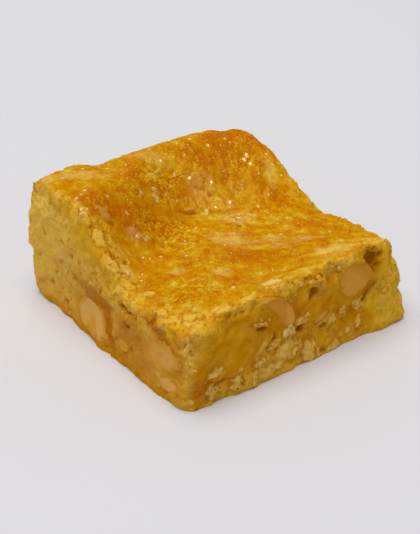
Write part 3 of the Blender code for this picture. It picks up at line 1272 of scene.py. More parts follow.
    def _close(self, piece: bpy.types.Object) -> None:
        """Fills the flat base and turns every face outwards.

        Args:
            piece: The piece.
        """
        bpy.ops.object.mode_set(mode="EDIT")
        pick_edges(piece, lambda edge: edge.is_boundary)
        bpy.ops.mesh.edge_face_add()
        bpy.ops.mesh.inset(thickness=self.base_inset)
        bpy.ops.mesh.select_all(action="SELECT")
        bpy.ops.mesh.normals_make_consistent(inside=False)
        bpy.ops.object.mode_set(mode="OBJECT")
        bpy.ops.object.shade_smooth()

    def _torn(self, x: Array, y: Array) -> Array:
        """1 where the crust is torn off along the edges and crumb shows, 0 on whole crust.

        Args:
            x: Places across.
            y: Places back.

        Returns:
            The share at each point.
        """
        ragged = sum(lumps.at(stack(x, y, 0.0)) for lumps in self.torn_raggedness)
        left = self.torn_left.at(y) + ragged - (x + self.form.half)
        front = self.torn_front.at(x) + ragged - self.form.from_front(y)
        far = self.torn_far + 0.6 * ragged - np.minimum(self.form.half - x, self.form.half - y)
        return ease(np.maximum(np.maximum(left, front), far) / MM, -0.5, 0.5)

    def _crumble(self, skin: Skin, flat: Array, torn: Array, rough: Array) -> None:
        """Gives the torn and rough parts of the top their clods, flakes and pits, with painted shade in the
        creases and lows and painted light on what is raised.

        Args:
            skin: The top's skin.
            flat: Its points on the level.
            torn: 1 where the crust is torn off.
            rough: 1 where it is torn off or flaked.
        """
        tones = skin.tones
        clods, boulders = self.clods.at(flat), self.boulders.at(flat)
        plates, flakes = self.plates.at(flat), self.flakes.at(flat)
        skin.relief += rough * (self.clods.height * (clods - 0.5) + self.boulders.height * (boulders - 0.5))
        skin.relief += rough * (self.plates.height * (plates - 0.5) + self.flakes.height * (flakes - 0.5))
        bitten = torn * ease(self.form.from_front(skin.rise), self.bite_reach, 0.0)
        skin.relief -= self.bite * bitten * (1 - plates)
        # Painted shade in the creases and between the plates.
        creases = 0.7 * (1 - 0.7 * plates) * ease(clods, 0.26, 0.06)
        tones[Tone.PIT] = rough * (creases + 0.16 * (1 - plates))
        # Painted shade, amber, in the lows.
        lowness = (1 - plates) * (0.45 + 0.55 * (1 - flakes)) + 0.25 * (1 - flakes)
        tones[Tone.AMBER] = rough * np.clip(0.6 * lowness + 0.1 - 0.4 * clods, 0, 1)
        # Painted light: paler on the raised plates, flakes and clods.
        light = 0.08 + 0.20 * plates + 0.16 * flakes + 0.12 * ease(clods, 0.4, 0.9)
        tones[Tone.PALE] *= 1 - 0.4 * torn
        skin.tint(Tone.PALE, torn * light * (0.3 + 0.7 * plates))

    def _top_skin(self, x: Array, y: Array) -> Skin:
        """The baked top: crust with bubbles and streaks, and torn crumb along the edges.

        Args:
            x: Places across.
            y: Places back.

        Returns:
            The top's skin.
        """
        flat = stack(x, y, 0.0)
        skin = Skin(Side.TOP, x, y, flat)
        skin.paint(self.patches)
        tones = skin.tones
        torn = self._torn(x, y)
        whole = 1 - torn
        rough = np.maximum(torn, ease(1.3 * tones[Tone.PALE] - 0.3))
        grain, fine_grain = self.grain.at(flat), self.fine_grain.at(flat)
        streaky = ease(self.streaks.share(x, y) + 0.5 * skin.drift, 1.2, 0.4)
        streaks = self.form.wrinkled(x, y, *self.streak_size, 15.0)
        fine_streaks = self.form.wrinkled(x, y, *self.fine_streak_size, 25.0)
        bubbly = ease(0.5 + self.bubbly.at(flat)) * (1 - 0.7 * streaky) * (1 - rough)
        skin.relief += self.crust_rise * whole + rough * (0.9 * fine_grain + 0.6 * grain)
        skin.relief += (0.3 + 0.6 * tones[Tone.ROUGH]) * (grain + fine_grain)
        skin.relief += bubbly * self.bubbles.height * self.bubbles.at(flat)
        skin.relief += whole * streaky * self.streak_height * streaks
        skin.relief += whole * streaky * self.fine_streak_height * fine_streaks
        tones[Tone.CRUST] = whole
        at_front = ease(self.form.from_front(y), self.pale_front, 0.0)
        at_edge = ease(self.form.inset(x, y), self.pale_edge, 0.0)
        heat = 0.54 + 0.44 * tones[Tone.BROWN] + self.heat_clouds.at(flat) + self.heat_specks.at(flat)
        heat += streaky * (0.08 + 0.50 * streaks + 0.20 * fine_streaks) - 0.144 * grain / self.grain.height
        tones[Tone.BROWN] = heat - np.maximum(0.3 * at_front, 0.45 * at_edge)
        # The painted sheen follows the streaks.
        tones[Tone.SHEEN] *= np.clip(0.55 + 1.2 * fine_streaks + 2.0 * streaks, 0, 1)
        self._crumble(skin, flat, torn, rough)
        skin.tint(Tone.ROUGH, np.maximum(0.05 + 0.25 * ease(0.3 + self.grainy.at(flat)), 0.8 * torn))
        pores = self.pores.at(flat) * ease(0.3 + self.porous.at(flat))
        skin.relief -= self.pores.height * pores
        # Painted shade in the pores.
        skin.tint(Tone.PIT, 0.7 * ease(1.3 * pores))
        skin.lift(self.lumps)
        skin.ring(self.rings)
        skin.sink(self.pits)
        skin.sparkle(self.sparks)
        return skin

    def _cut_skin(self, x: Array, y: Array, z: Array, top: Array) -> Skin:
        """The sides: crumb that is rougher or smoother by side, with the nuts' hollows.

        Args:
            x: Places across.
            y: Places back.
            z: Heights.
            top: Height of the top there.

        Returns:
            The skin of all four sides together.
        """
        points = stack(x, y, z)
        whole = Skin(Side.FRONT, x, z, points)
        outward = self.form.outward(x, y)
        edge_lip = ease(z - top, -self.lip_height, -self.lip_height / 2)
        uneven = self.crumbs.at(points) + self.grit.at(points) + edge_lip * self.lip.at(points, self.mean_lip)
        features = (self.clods, self.boulders, self.plates, self.flakes)
        shapes = [feature.at(points) for feature in features]
        pores = self.pores.at(points)
        crumbly = np.zeros(len(x))
        for side, cut in CUTS.items():
            weight = side.facing(outward)
            near = weight > 0.001
            weight = weight[near]
            skin = Skin(side, side.run(x, y)[near], z[near], points[near])
            skin.paint(self.patches)
            tones = skin.tones
            drift = whole.drift[near]
            under_top = (top - z)[near] / MM
            ridge = 4 * weight * (1 - weight)
            upper = ease(z[near] / MM, 6.0, 14.0)
            clods, boulders, plates, flakes = (shape[near] for shape in shapes)
            lip_start, lip_depth, lip_drift = cut.lip
            lip = ease(lip_start - under_top / lip_depth + lip_drift * drift)
            tone, strength = cut.tone
            skin.tint(tone, strength * (1 - lip))
            rough = 0.10 + np.clip(cut.patches.at(points[near]) - 0.15, 0, 1) + tones[Tone.ROUGH]
            rough += cut.lip_rough * (tones[Tone.PALE] + lip) + ridge * (0.3 + 0.6 * upper)
            rough = np.clip(rough, 0.08, 1.0)
            tones[Tone.ROUGH] = rough
            # Painted shade in the creases between clods.
            tones[Tone.PIT] = 0.8 * rough * ease(clods, 0.24, 0.04)
            # Painted shade, amber, where the boulders are low.
            clod_gap_shade = ease(0.5 + 2.2 * (0.5 - boulders) + 0.8 * drift)
            skin.tint(Tone.AMBER, (cut.gap_shade[0] + cut.gap_shade[1] * rough) * clod_gap_shade)
            skin.relief += uneven[near]
            for feature, shape, mean in zip(features, shapes, (0.45, 0.45, 0.5, 0.5)):
                skin.relief += rough * feature.height * (shape[near] - mean)
            dry = cut.dryness * pores[near]
            skin.relief -= 0.8 * self.pores.height * dry
            # Painted shade in the open pores.
            skin.tint(Tone.PIT, 0.55 * ease(1.3 * dry))
            # Painted light: paler on the peaks.
            peaks = 0.25 * ease(clods, 0.4, 0.9) + 0.45 * plates + 0.3 * flakes
            peaks *= rough * (1 - cut.calm * lip)
            tones[Tone.PALE] *= 0.6 + 0.4 * peaks
            skin.tint(Tone.PALE, 0.75 * peaks)
            if cut.smeared:
                smear = self.form.drawn(skin.run, skin.rise, self.smear_way, *self.smear_size, 45.0)
                # The knife's smear: darker streaks in its troughs and golden ones on its crests, a tone of
                # the cut.
                skin.tint(Tone.PIT, 0.5 * (1 - tones[Tone.GOLD]) * ease(-2.2 * smear))
                skin.tint(Tone.GOLD, 0.22 * ease(0.1 + 2.0 * smear))
                skin.tint(Tone.GOLD, 0.4 * ease(1.15 - under_top / 3.0))
            skin.dent(self.dents)
            skin.lift(self.lumps)
            patchy = 0.35 + 0.65 * ease(0.5 + 1.5 * drift)
            skin.tint(Tone.GOLD, ridge * patchy)
            ragged_pale = upper * (0.6 * plates + 0.5 * ease(clods, 0.3, 0.8))
            skin.tint(Tone.PALE, ridge * (0.25 * patchy + ragged_pale))
            for nut in self.nuts:
                nut.press_into(skin)
            skin.sink(self.pits)
            whole.relief[near] += weight * skin.relief
            for tone in Tone:
                whole.tones[tone][near] += weight * tones[tone]
            crumbly[near] += weight * rough
        whole.relief += (0.3 + crumbly) * self.grain.at(points) + self.fine_grain.at(points)
        return whole

    def _shape(self, piece: bpy.types.Object) -> None:
        """Moves the block's cells to the cake's surface and stores the masks.

        Args:
            piece: The piece.
        """
        unit = coordinates(piece)
        x, y = self.form.plan(unit[:, 0] * self.form.side, unit[:, 1] * self.form.side)
        on_top = unit[:, 2] > 1 - 1e-6
        top_skin = self._top_skin(x, y)
        top = self.form.top(x, y) + top_skin.relief
        z = unit[:, 2] * top
        points = self.form.leant(x, y, z, top)
        near = ease(self.form.inset(x, y), self.side_reach, 0.0)
        edge = near > 0
        at_edge = (x[edge], y[edge], z[edge], top[edge])
        cut_skin = self._cut_skin(*at_edge)
        out = (self.form.belly(*at_edge) + cut_skin.relief) * near[edge]
        points[edge] += self.form.outward(x[edge], y[edge]) * out[:, None]
        side_share = np.where(on_top[edge], near[edge] * 0.5, 1.0)
        crusty = np.where(on_top, 1.0, ease(top - z, self.crust_depth, 0.0))
        for tone, values in top_skin.tones.items():
            if tone in (Tone.CRUST, Tone.BROWN):
                values = values * crusty
            else:
                values = np.where(on_top, values, 0.0)
                values[edge] = (1 - side_share) * values[edge] + side_share * cut_skin.tones[tone]
            set_mask(piece, tone.value, values)
        held = held_in_box(points)
        log.info("cake held inside the frame's box by up to %.2f mm", np.abs(points - held).max() / MM)
        set_coordinates(piece, held)

    def build(self) -> bpy.types.Object:
        """Models the cake in place of the frame's own.

        Returns:
            The piece.
        """
        piece = self._block()
        self._shape(piece)
        self._close(piece)
        dress(piece, CakeFinish().material())
        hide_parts("cake")
        return piece


# ---------------------------------------------------------------- nuts at the cuts


@dataclass(frozen=True)
class Nut:
    """One macadamia, or a chip of one, seated at a cut.

    Attributes:
        node: The frame's node that it stands for.
        spot: Its outline at the cut and its depth.
        lobes: The pale parts of its cut face, which stand out a little, with how pale they are.
        shown: Where it isn't covered by cake; none means its whole outline.
        crown: How far its lobes stand out.
        pocket: How deep the cake is hollowed for it.
        lip: How far the cake round it stands out.
        halo: How brown the cake round it is.
        cover: How deep under the cake its hidden part lies.
        sunk_share: Share of its depth that its middle lies under the cut.
        insets: How many rings of cells its cut face has.
        inset_reach: How far in they reach, of its half width.
    """

    node: str
    spot: Spot
    lobes: tuple[Spot, ...]
    shown: tuple[Spot, ...] = ()
    crown: float = 0.12 * MM
    pocket: float = 1.6 * MM
    lip: float = 0.08 * MM
    halo: float = 0.5
    cover: float = 0.5 * MM
    segments: int = 64
    rings: int = 32
    sunk_share: float = 0.3
    insets: int = 8
    inset_reach: float = 0.93
    bumps: Lumps = Lumps(0.83, 0.07, 31.0)
    lobe_edges: Lumps = Lumps(2.0 * MM, 0.25, 79.0)
    grain: Lumps = Lumps(1.1 * MM, 0.07 * MM, 77.0)

    def press_into(self, skin: Skin) -> None:
        """Flattens the cake round the nut and hollows it where the nut shows.

        Args:
            skin: A side of the cake.
        """
        if self.spot.side is not skin.side:
            return
        share = self.spot.share(skin.run, skin.rise)
        close = ease(share, 1.3, 0.95)
        skin.relief += close * (self.lip - skin.relief)
        for tone in (Tone.PALE, Tone.PIT):
            skin.tones[tone] *= 1 - close
        skin.tint(Tone.RED, self.halo * ease(share, 1.4, 0.95))
        for part in self.shown or (self.spot,):
            open_share = part.share(skin.run, skin.rise) + 0.5 * skin.ragged + 0.25 * skin.drift
            skin.relief -= self.pocket * ease(open_share, 0.93, 0.77)

    def _shown_share(self, run: Array, rise: Array) -> Array:
        """1 where the nut's face shows at the cut, 0 well under the cake that covers the rest.

        Args:
            run: Places along the side.
            rise: Heights on it.

        Returns:
            The share at each place.
        """
        if not self.shown:
            return np.ones(len(run))
        nearest = np.min([part.share(run, rise) for part in self.shown], axis=0)
        return ease(nearest, 1.4, 1.1)

    def _oval(self) -> bpy.types.Object:
        """A sphere cut flat across, its cut face inset in rings.

        Returns:
            The oval, 1 in radius.
        """
        cells = {"segments": self.segments, "ring_count": self.rings}
        piece = started(bpy.ops.mesh.primitive_uv_sphere_add, "cut_" + self.node, **cells, radius=1.0)
        bpy.ops.transform.rotate(value=math.radians(90), orient_axis="Y", center_override=(0, 0, 0))
        bpy.ops.mesh.select_all(action="SELECT")
        cut = {"plane_co": (self.sunk_share, 0, 0), "plane_no": (1, 0, 0)}
        bpy.ops.mesh.bisect(**cut, clear_outer=True, use_fill=True)
        for _ in range(self.insets):
            bpy.ops.mesh.inset(thickness=self.inset_reach / (self.insets + 1))
        bpy.ops.mesh.poke()
        bpy.ops.object.mode_set(mode="OBJECT")
        finer = piece.modifiers.new("finer", "SUBSURF")
        finer.subdivision_type = "SIMPLE"
        finer.levels = finer.render_levels = 1
        bpy.ops.object.modifier_apply(modifier=finer.name)
        return piece

    def _side_places(self, points: Array) -> tuple[Array, Array]:
        """Where points of the nut come along the side and up it, turned by the nut's tilt as it is seen.

        Args:
            points: Its points: out of the side, along it and up, from the nut's middle.

        Returns:
            Places along the side and heights on it.
        """
        mirrored = -1 if self.spot.side in (Side.LEFT, Side.FAR_LEFT) else 1
        tilt = mirrored * math.radians(self.spot.tilt)
        cos, sin = math.cos(tilt), math.sin(tilt)
        along = points[:, 1] * cos - points[:, 2] * sin
        up = points[:, 1] * sin + points[:, 2] * cos
        return self.spot.place * MM + mirrored * along, self.spot.height * MM + up

    def build(self, form: CakeForm, finish: bpy.types.Material) -> bpy.types.Object:
        """Models the nut where its node is.

        Args:
            form: The cake's form, whose side it sits at.
            finish: The nut's material.

        Returns:
            The piece.
        """
        piece = self._oval()
        unit = coordinates(piece)
        widen = 1 / math.sqrt(1 - self.sunk_share**2)
        half_sizes = (self.spot.depth, self.spot.half_width * widen, self.spot.half_height * widen)
        bumpy = unit * (1 + self.bumps.at(unit + [0, 0, self.spot.place]))[:, None]
        points = bumpy * half_sizes * MM
        points[:, 0] -= self.sunk_share * self.spot.depth * MM
        run, rise = self._side_places(points)
        shown = self._shown_share(run, rise)
        lobe = np.zeros(len(points))
        for part in self.lobes:
            share = part.share(run, rise) + self.lobe_edges.at(points)
            lobe = np.maximum(lobe, part.depth * ease(share, 1.25, 0.35))
        face = ease(unit[:, 0], self.sunk_share - 0.02, self.sunk_share)
        raised = (self.crown * lobe + self.grain.at(points)) * shown
        points[:, 0] += face * (raised - self.cover * (1 - shown))
        out_of_side = stack(*self.spot.side.value, 0.0)
        set_coordinates(piece, form.surface(self.spot.side, run, rise) + points[:, :1] * out_of_side)
        set_mask(piece, "lobe", face * lobe)
        bpy.ops.object.shade_smooth()
        dress(piece, finish)
        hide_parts(self.node)
        return piece


# ---------------------------------------------------------------- clinging crumbs


@dataclass(frozen=True)
class Crumb:
    """Middle, half size and tone of one crumb, from 0 for pale to 1 for golden."""

    middle: Vector
    size: float
    tone: float


@dataclass
class Crumbs:
    """Small crumbs that cling to the cuts and the torn edges, joined in one piece.

    Attributes:
        clusters: Where crumbs gather on the sides, how many, and how golden they are.
        strewn: How many more lie where the cake is roughest.
        smaller: How much smaller those are.
    """

    clusters: tuple[tuple[Spot, int, float], ...]
    strewn: int = 60
    form: CakeForm = FORM
    seed: int = 7
    smallest: float = 0.20 * MM
    largest: float = 0.48 * MM
    smaller: float = 0.75
    roundness: float = 0.75
    smooth_angle: float = math.radians(50)

    def _rock(self) -> bpy.types.Object:
        """A rounded cube of a few dozen faces.

        Returns:
            The rock.
        """
        piece = started(bpy.ops.mesh.primitive_cube_add, "clinging_crumbs", size=2.0)
        bpy.ops.mesh.subdivide(number_cuts=1)
        bpy.ops.transform.tosphere(value=self.roundness)
        bpy.ops.object.mode_set(mode="OBJECT")
        return piece

    def _clustered(self, draw: random.Random) -> list[Crumb]:
        """The crumbs that gather on the sides, smaller towards the edge of their cluster.

        Args:
            draw: The random draws.

        Returns:
            The crumbs.
        """
        crumbs = []
        for spot, count, tone in self.clusters:
            turn = math.radians(spot.tilt)
            for _ in range(count):
                angle, reach = draw.uniform(0, 2 * math.pi), math.sqrt(draw.random())
                along = math.cos(angle) * reach * spot.half_width
                up = math.sin(angle) * reach * spot.half_height
                place = spot.place + along * math.cos(turn) - up * math.sin(turn)
                height = max(0.5, spot.height + along * math.sin(turn) + up * math.cos(turn))
                size = draw.uniform(self.smallest, self.largest) * (1.3 - 0.5 * reach)
                middle = self.form.surface(spot.side, np.array([place * MM]), np.array([height * MM]))[0]
                out = Vector((*spot.side.value, 0)) * draw.uniform(-0.1, 0.25) * MM
                crumbs.append(Crumb(Vector(middle) + out, size, tone + draw.uniform(-0.25, 0.25)))
        return crumbs

    def _strewn(self, cake: bpy.types.Object, draw: random.Random) -> list[Crumb]:
        """The crumbs at places drawn from the cake's palest torn crumb, but not at the far corners.

        Args:
            cake: The finished cake.
            draw: The random draws.

        Returns:
            The crumbs.
        """
        vertices = cake.data.vertices
        order = np.lexsort(np.round(coordinates(cake) / (0.01 * MM)).T)
        pales, crusts = (cake.data.attributes[tone.value].data for tone in (Tone.PALE, Tone.CRUST))
        crumbs = []
        while len(crumbs) < self.strewn:
            index = int(order[draw.randrange(len(order))])
            vertex, bare = vertices[index], pales[index].value * (1 - crusts[index].value)
            in_reach = abs(vertex.co.x) < 30.0 * MM or vertex.co.y < 20.0 * MM
            if in_reach and vertex.co.z > 1.0 * MM and draw.random() < bare:
                size = draw.uniform(self.smallest, self.largest) * self.smaller
                middle = vertex.co - vertex.normal * size * 0.1
                crumbs.append(Crumb(middle, size, draw.uniform(0.1, 0.9)))
        return crumbs

    def build(self, cake: bpy.types.Object) -> bpy.types.Object:
        """Models one crumb and copies it, each copy with its own shape, size and tone.

        Args:
            cake: The finished cake.

        Returns:
            The piece.
        """
        piece = self._rock()
        ball = coordinates(piece)
        faces = np.array([tuple(face.vertices) for face in piece.data.polygons])
        draw = random.Random(self.seed)
        crumbs = self._clustered(draw) + self._strewn(cake, draw)
        points = []
        for crumb in crumbs:
            own = draw.uniform(0, 50)
            bumps = 1 + 1.1 * np.array([noise.noise(place) for place in (ball * 1.1 + own).tolist()])
            angle, axis = draw.uniform(0, 6.3), [draw.gauss(0, 1) for _ in range(3)]
            stretch = [draw.uniform(0.6, 1.3) for _ in range(3)]
            shape = ball * bumps[:, None] * crumb.size * stretch
            points.append(shape @ np.array(Matrix.Rotation(angle, 3, Vector(axis))) + np.array(crumb.middle))
        all_faces = [faces + index * len(ball) for index in range(len(crumbs))]
        mesh = bpy.data.meshes.new("clinging_crumbs")
        mesh.from_pydata(held_in_box(np.concatenate(points)).tolist(), [], np.concatenate(all_faces).tolist())
        piece.data = mesh
        set_mask(piece, "golden", np.repeat([crumb.tone for crumb in crumbs], len(ball)))
        bpy.ops.object.shade_smooth_by_angle(angle=self.smooth_angle)
        dress(piece, CrumbFinish().material())
        return piece


# ---------------------------------------------------------------- studio


@dataclass(frozen=True)
class Lamp:
    """A soft square light aimed at the cake.

    Attributes:
        name: Its name.
        place: Where it is.
        size: Length of its side.
        power: Its power in watts.
        colour: Its colour.
    """

    name: str
    place: tuple[float, float, float]
    size: float
    power: float
    colour: Colour = (1.0, 1.0, 1.0)
    target: tuple[float, float, float] = (0.0, 0.0, 10.0 * MM)

    def build(self) -> None:
        """Adds the light."""
        data = bpy.data.lights.new(self.name, "AREA")
        data.shape = "SQUARE"
        data.size, data.energy, data.color = self.size, self.power, self.colour
        lamp = bpy.data.objects.new(self.name, data)
        lamp.location = self.place
        lamp.rotation_euler = (Vector(self.target) - Vector(self.place)).to_track_quat("-Z", "Y").to_euler()
        bpy.context.scene.collection.objects.link(lamp)


@dataclass(frozen=True)
class Studio:
    """The floor, the soft light and the camera.

    Attributes:
        azimuth: The way that the camera looks, turned from +Y.
        elevation: How far it is above the level.
        eye: Where it is.
        lens: Its focal length for a frame 36 mm on the long side.
    """

    azimuth: float = math.radians(-37.16)
    elevation: float = math.radians(29.0)
    eye: tuple[float, float, float] = (-117.0 * MM, -151.8 * MM, 115.4 * MM)
    lens: float = 62.92
    sensor: float = 36.0
    clip_start: float = 0.01
    floor_side: float = 1.6
    sky: Colour = (0.94, 0.95, 1.0)
    sky_strength: float = 0.32
    lamps: tuple[Lamp, ...] = (
        Lamp("key", (-0.30, 0.10, 2.10), 1.9, 37.0, (1.0, 0.99, 0.97)),
        Lamp("spark", (0.50, 0.66, 0.50), 0.06, 0.3),
    )

    def _floor(self) -> None:
        """A plain pale floor."""
        floor = started(bpy.ops.mesh.primitive_plane_add, "floor", size=self.floor_side)
        bpy.ops.object.mode_set(mode="OBJECT")
        floor.data.materials.append(FloorFinish().material())

    def _world(self) -> None:
        """A dim, even sky."""
        world = bpy.data.worlds.new("studio")
        world.use_nodes = True
        background = world.node_tree.nodes["Background"]
        background.inputs["Color"].default_value = (*self.sky, 1.0)
        background.inputs["Strength"].default_value = self.sky_strength
        bpy.context.scene.world = world

    def _camera(self) -> None:
        """The camera at the photograph's angle."""
        data = bpy.data.cameras.new("camera")
        data.lens, data.sensor_width, data.sensor_fit = self.lens, self.sensor, "AUTO"
        data.clip_start = self.clip_start
        camera = bpy.data.objects.new("camera", data)
        camera.location = self.eye
        camera.rotation_euler = (math.pi / 2 - self.elevation, 0, self.azimuth)
        bpy.context.scene.collection.objects.link(camera)
        bpy.context.scene.camera = camera

    def build(self) -> None:
        """Sets up the camera, the floor, the world and the lights."""
        self._camera()
        self._floor()
        self._world()
        for lamp in self.lamps:
            lamp.build()
        bpy.context.scene.view_settings.view_transform = "Standard"
        log.info("studio ready")


# ---------------------------------------------------------------- what this cake has where

F, L, T, FR, FL = Side.FRONT, Side.LEFT, Side.TOP, Side.FAR_RIGHT, Side.FAR_LEFT
ACROSS = -37.0


def on_side(side: Side, *rows: tuple[float, ...]) -> tuple[Spot, ...]:
    """Spots of one side or of the top, each from its other values in order."""
    return tuple(Spot(side, *row) for row in rows)


def across(*rows: tuple[float, ...]) -> tuple[Spot, ...]:
    """Spots of the top along its wrinkles, each from its place, half sizes and depth or strength."""
    return tuple(Spot(T, *row[:4], ACROSS, *row[4:]) for row in rows)


STREAKS = Spot(T, 3.0, -11.0, 22.0, 10.0, ACROSS)

CHIP = {"segments": 32, "rings": 20}
RUGGED_CHIP = {**CHIP, "crown": 0.1 * MM, "lip": 0.06 * MM, "bumps": Lumps(0.6, 0.2, 31.0)}

NUTS = (
    Nut(
        "nut_left_rear",
        Spot(L, 3.9, 5.2, 6.7, 4.2, 12, 6.0),
        (
            Spot(L, 6.9, 5.2, 3.8, 4.6, 30, 0.9),
            Spot(L, 4.2, 7.8, 4.6, 3.2, 10, 0.9),
            Spot(L, 0.6, 5.2, 6.0, 2.2, 62, 1.0),
            Spot(L, 3.4, 5.0, 6.0, 5.0, 30, 0.55),
        ),
        halo=0.3,
    ),
    Nut(
        "nut_left_front",
        Spot(L, -22.6, 9.4, 6.8, 3.7, -13, 5.2),
        (Spot(L, -22.8, 9.2, 8.0, 4.2, -13, 0.65), Spot(L, -24.6, 9.6, 4.6, 2.8, -30, 0.8)),
        (Spot(L, -22.8, 9.6, 6.9, 3.0, -12, bluntness=1.35), Spot(L, -20.6, 8.2, 2.8, 2.2, 50)),
        halo=0.3,
    ),
    Nut(
        "nut_front_middle",
        Spot(F, -8.2, 14.0, 5.4, 3.7, -43, 5.2),
        (Spot(F, -4.8, 12.8, 4.6, 1.5, -76, 0.65), Spot(F, -8.0, 15.6, 5.0, 2.4, -40, 0.3)),
        (Spot(F, -5.4, 13.2, 4.2, 2.1, -66), Spot(F, -7.2, 15.8, 5.0, 1.3, -40)),
        halo=0.3,
    ),
    Nut(
        "nut_front_right",
        Spot(F, 14.2, 15.2, 5.1, 4.1, -22, 5.2),
        (Spot(F, 13.0, 14.6, 6.0, 4.4, -22, 0.5),),
        (Spot(F, 12.8, 15.4, 2.9, 3.9, 12, bluntness=2.6), Spot(F, 15.4, 15.2, 3.6, 2.5, -20, bluntness=1.5)),
        halo=0.15,
    ),
    Nut(
        "nut_far_right_low",
        Spot(FR, -9.5, 7.6, 6.2, 4.3, 12, 5.8),
        (Spot(FR, -10.0, 7.6, 5.8, 4.0, 12, 0.75),),
    ),
    Nut(
        "nut_far_right_high",
        Spot(FR, 13.5, 14.6, 4.9, 4.6, -30, 5.6),
        (Spot(FR, 13.0, 14.8, 4.8, 4.2, -30, 0.75),),
    ),
    Nut(
        "nut_far_left_high",
        Spot(FL, -12.5, 16.2, 6.1, 4.3, 18, 5.6),
        (Spot(FL, -14.4, 15.6, 3.6, 3.8, 40, 0.75), Spot(FL, -9.4, 17.2, 3.6, 1.9, 60, 0.8)),
    ),
    Nut(
        "nut_far_left_low",
        Spot(FL, 13.0, 7.4, 5.6, 4.0, -12, 5.4),
        (Spot(FL, 13.2, 7.4, 5.2, 3.8, -12, 0.65),),
    ),
    Nut(
        "chip_left_front",
        Spot(L, -25.6, 4.2, 2.9, 1.5, -14, 2.2),
        (Spot(L, -25.4, 4.2, 3.6, 1.9, -14, 0.9),),
        (Spot(L, -25.6, 4.2, 2.6, 1.3, -14, bluntness=3.0),),
        pocket=0.5 * MM,
        halo=0.1,
        **RUGGED_CHIP,
    ),
    Nut(
        "chip_left_middle",
        Spot(L, -8.4, 4.6, 2.9, 1.2, -10, 2.0),
        (Spot(L, -8.4, 4.6, 4.6, 2.2, -10, 0.4),),
        (Spot(L, -8.0, 4.8, 2.4, 0.95, -10), Spot(L, -9.2, 4.3, 1.6, 0.9, -10)),
        pocket=0.3 * MM,
        halo=0.35,
        **RUGGED_CHIP,
    ),
    Nut(
        "chip_front_middle",
        Spot(F, 4.2, 9.5, 2.2, 0.9, 22, 1.8),
        (Spot(F, 4.2, 9.5, 2.4, 1.1, 22, 0.7),),
        pocket=0.7 * MM,
        **CHIP,
    ),
)

PITS = (
    *on_side(
        F, (18.9, 18, 3, 3.3, -10, 2.4), (18.2, 10.4, 2.6, 0.9, 36, 2), (-1.8, 8.7, 1.1, 1, 0, 1.6),
        (-8.9, 9.6, 0.6, 1.2, 0, 1.3), (-12.2, 12.9, 1.9, 0.55, 4, 1.2), (2.1, 15.4, 1.8, 1, 24, 1),
        (5, 7.2, 1.1, 0.7, 0, 1), (-4, 20.2, 2, 0.5, -14, 1.3), (0.6, 19.4, 1.2, 0.6, 10, 1.3),
        (4.2, 18.4, 1, 0.8, 50, 1.1), (-18.1, 17.9, 2.2, 0.5, 2, 0.8), (-18.1, 2.6, 0.5, 1.2, 0, 0.7),
        (-23.3, 4.4, 2, 0.5, 8, 0.7), (-26.4, 2.3, 0.5, 1.4, 0, 0.6), (4.4, 1.2, 1.1, 1, 0, 0.8),
    ),
    *on_side(
        L, (-8.3, 12.9, 2.2, 0.5, 0, 1), (-9.6, 9.8, 1, 0.8, 0, 1.2), (-19, 15.8, 0.9, 1.3, 0, 1.1),
        (22.5, 15, 0.5, 0.5, 0, 0.8), (10.9, 12, 0.7, 0.5, 0, 0.8), (14.1, 8.5, 0.7, 0.5, 0, 0.8),
        (15.7, 3.8, 1.4, 0.6, 0, 0.8), (24.2, 18.4, 0.5, 1.1, 0, 0.7), (18, 13, 0.9, 0.6, 20, 0.5),
        (12.5, 17, 0.8, 0.7, 0, 0.6), (8, 14.6, 0.7, 0.5, 0, 0.5), (20.5, 9.2, 0.8, 0.5, -20, 0.5),
        (26.8, 11.4, 0.6, 0.8, 0, 0.4), (16.2, 19, 0.9, 0.6, 0, 0.5), (23, 5.6, 0.8, 0.5, 0, 0.5),
    ),
    *across(
        (-5.3, 14, 0.6, 0.5, 0.7), (-23.4, 7, 0.6, 0.5, 0.7), (-30.1, 5.2, 0.6, 0.5, 0.6),
        (7.6, 12.7, 0.6, 0.7, 0.8), (11.5, 7.8, 0.5, 0.6, 0.6), (22.9, 0.4, 0.6, 0.6, 0.6),
        (6.1, -0.4, 0.6, 0.8, 0.9),
    ),
    *on_side(T, (0.1, 10.8, 4.3, 0.5, -8, 0.6), (6.6, 8.5, 2.9, 0.5, -34, 0.6)),
    *on_side(FR, (-22, 12, 2.4, 1.4, 20, 1.5), (3, 9, 1.9, 1.2, -25, 1.3), (24, 8, 1.6, 2, 0, 1.3)),
    *on_side(FL, (-24, 8, 2.2, 1.5, -18, 1.4), (2, 19, 2.6, 1.1, 12, 1.3), (22, 18, 1.5, 1.9, 0, 1.3)),
)

DENTS = (
    Spot(F, 31, 7.5, 6, 3.4, 0, 1.3),
    Spot(FR, -31, 7.5, 6, 3.4, 0, 1.3),
)

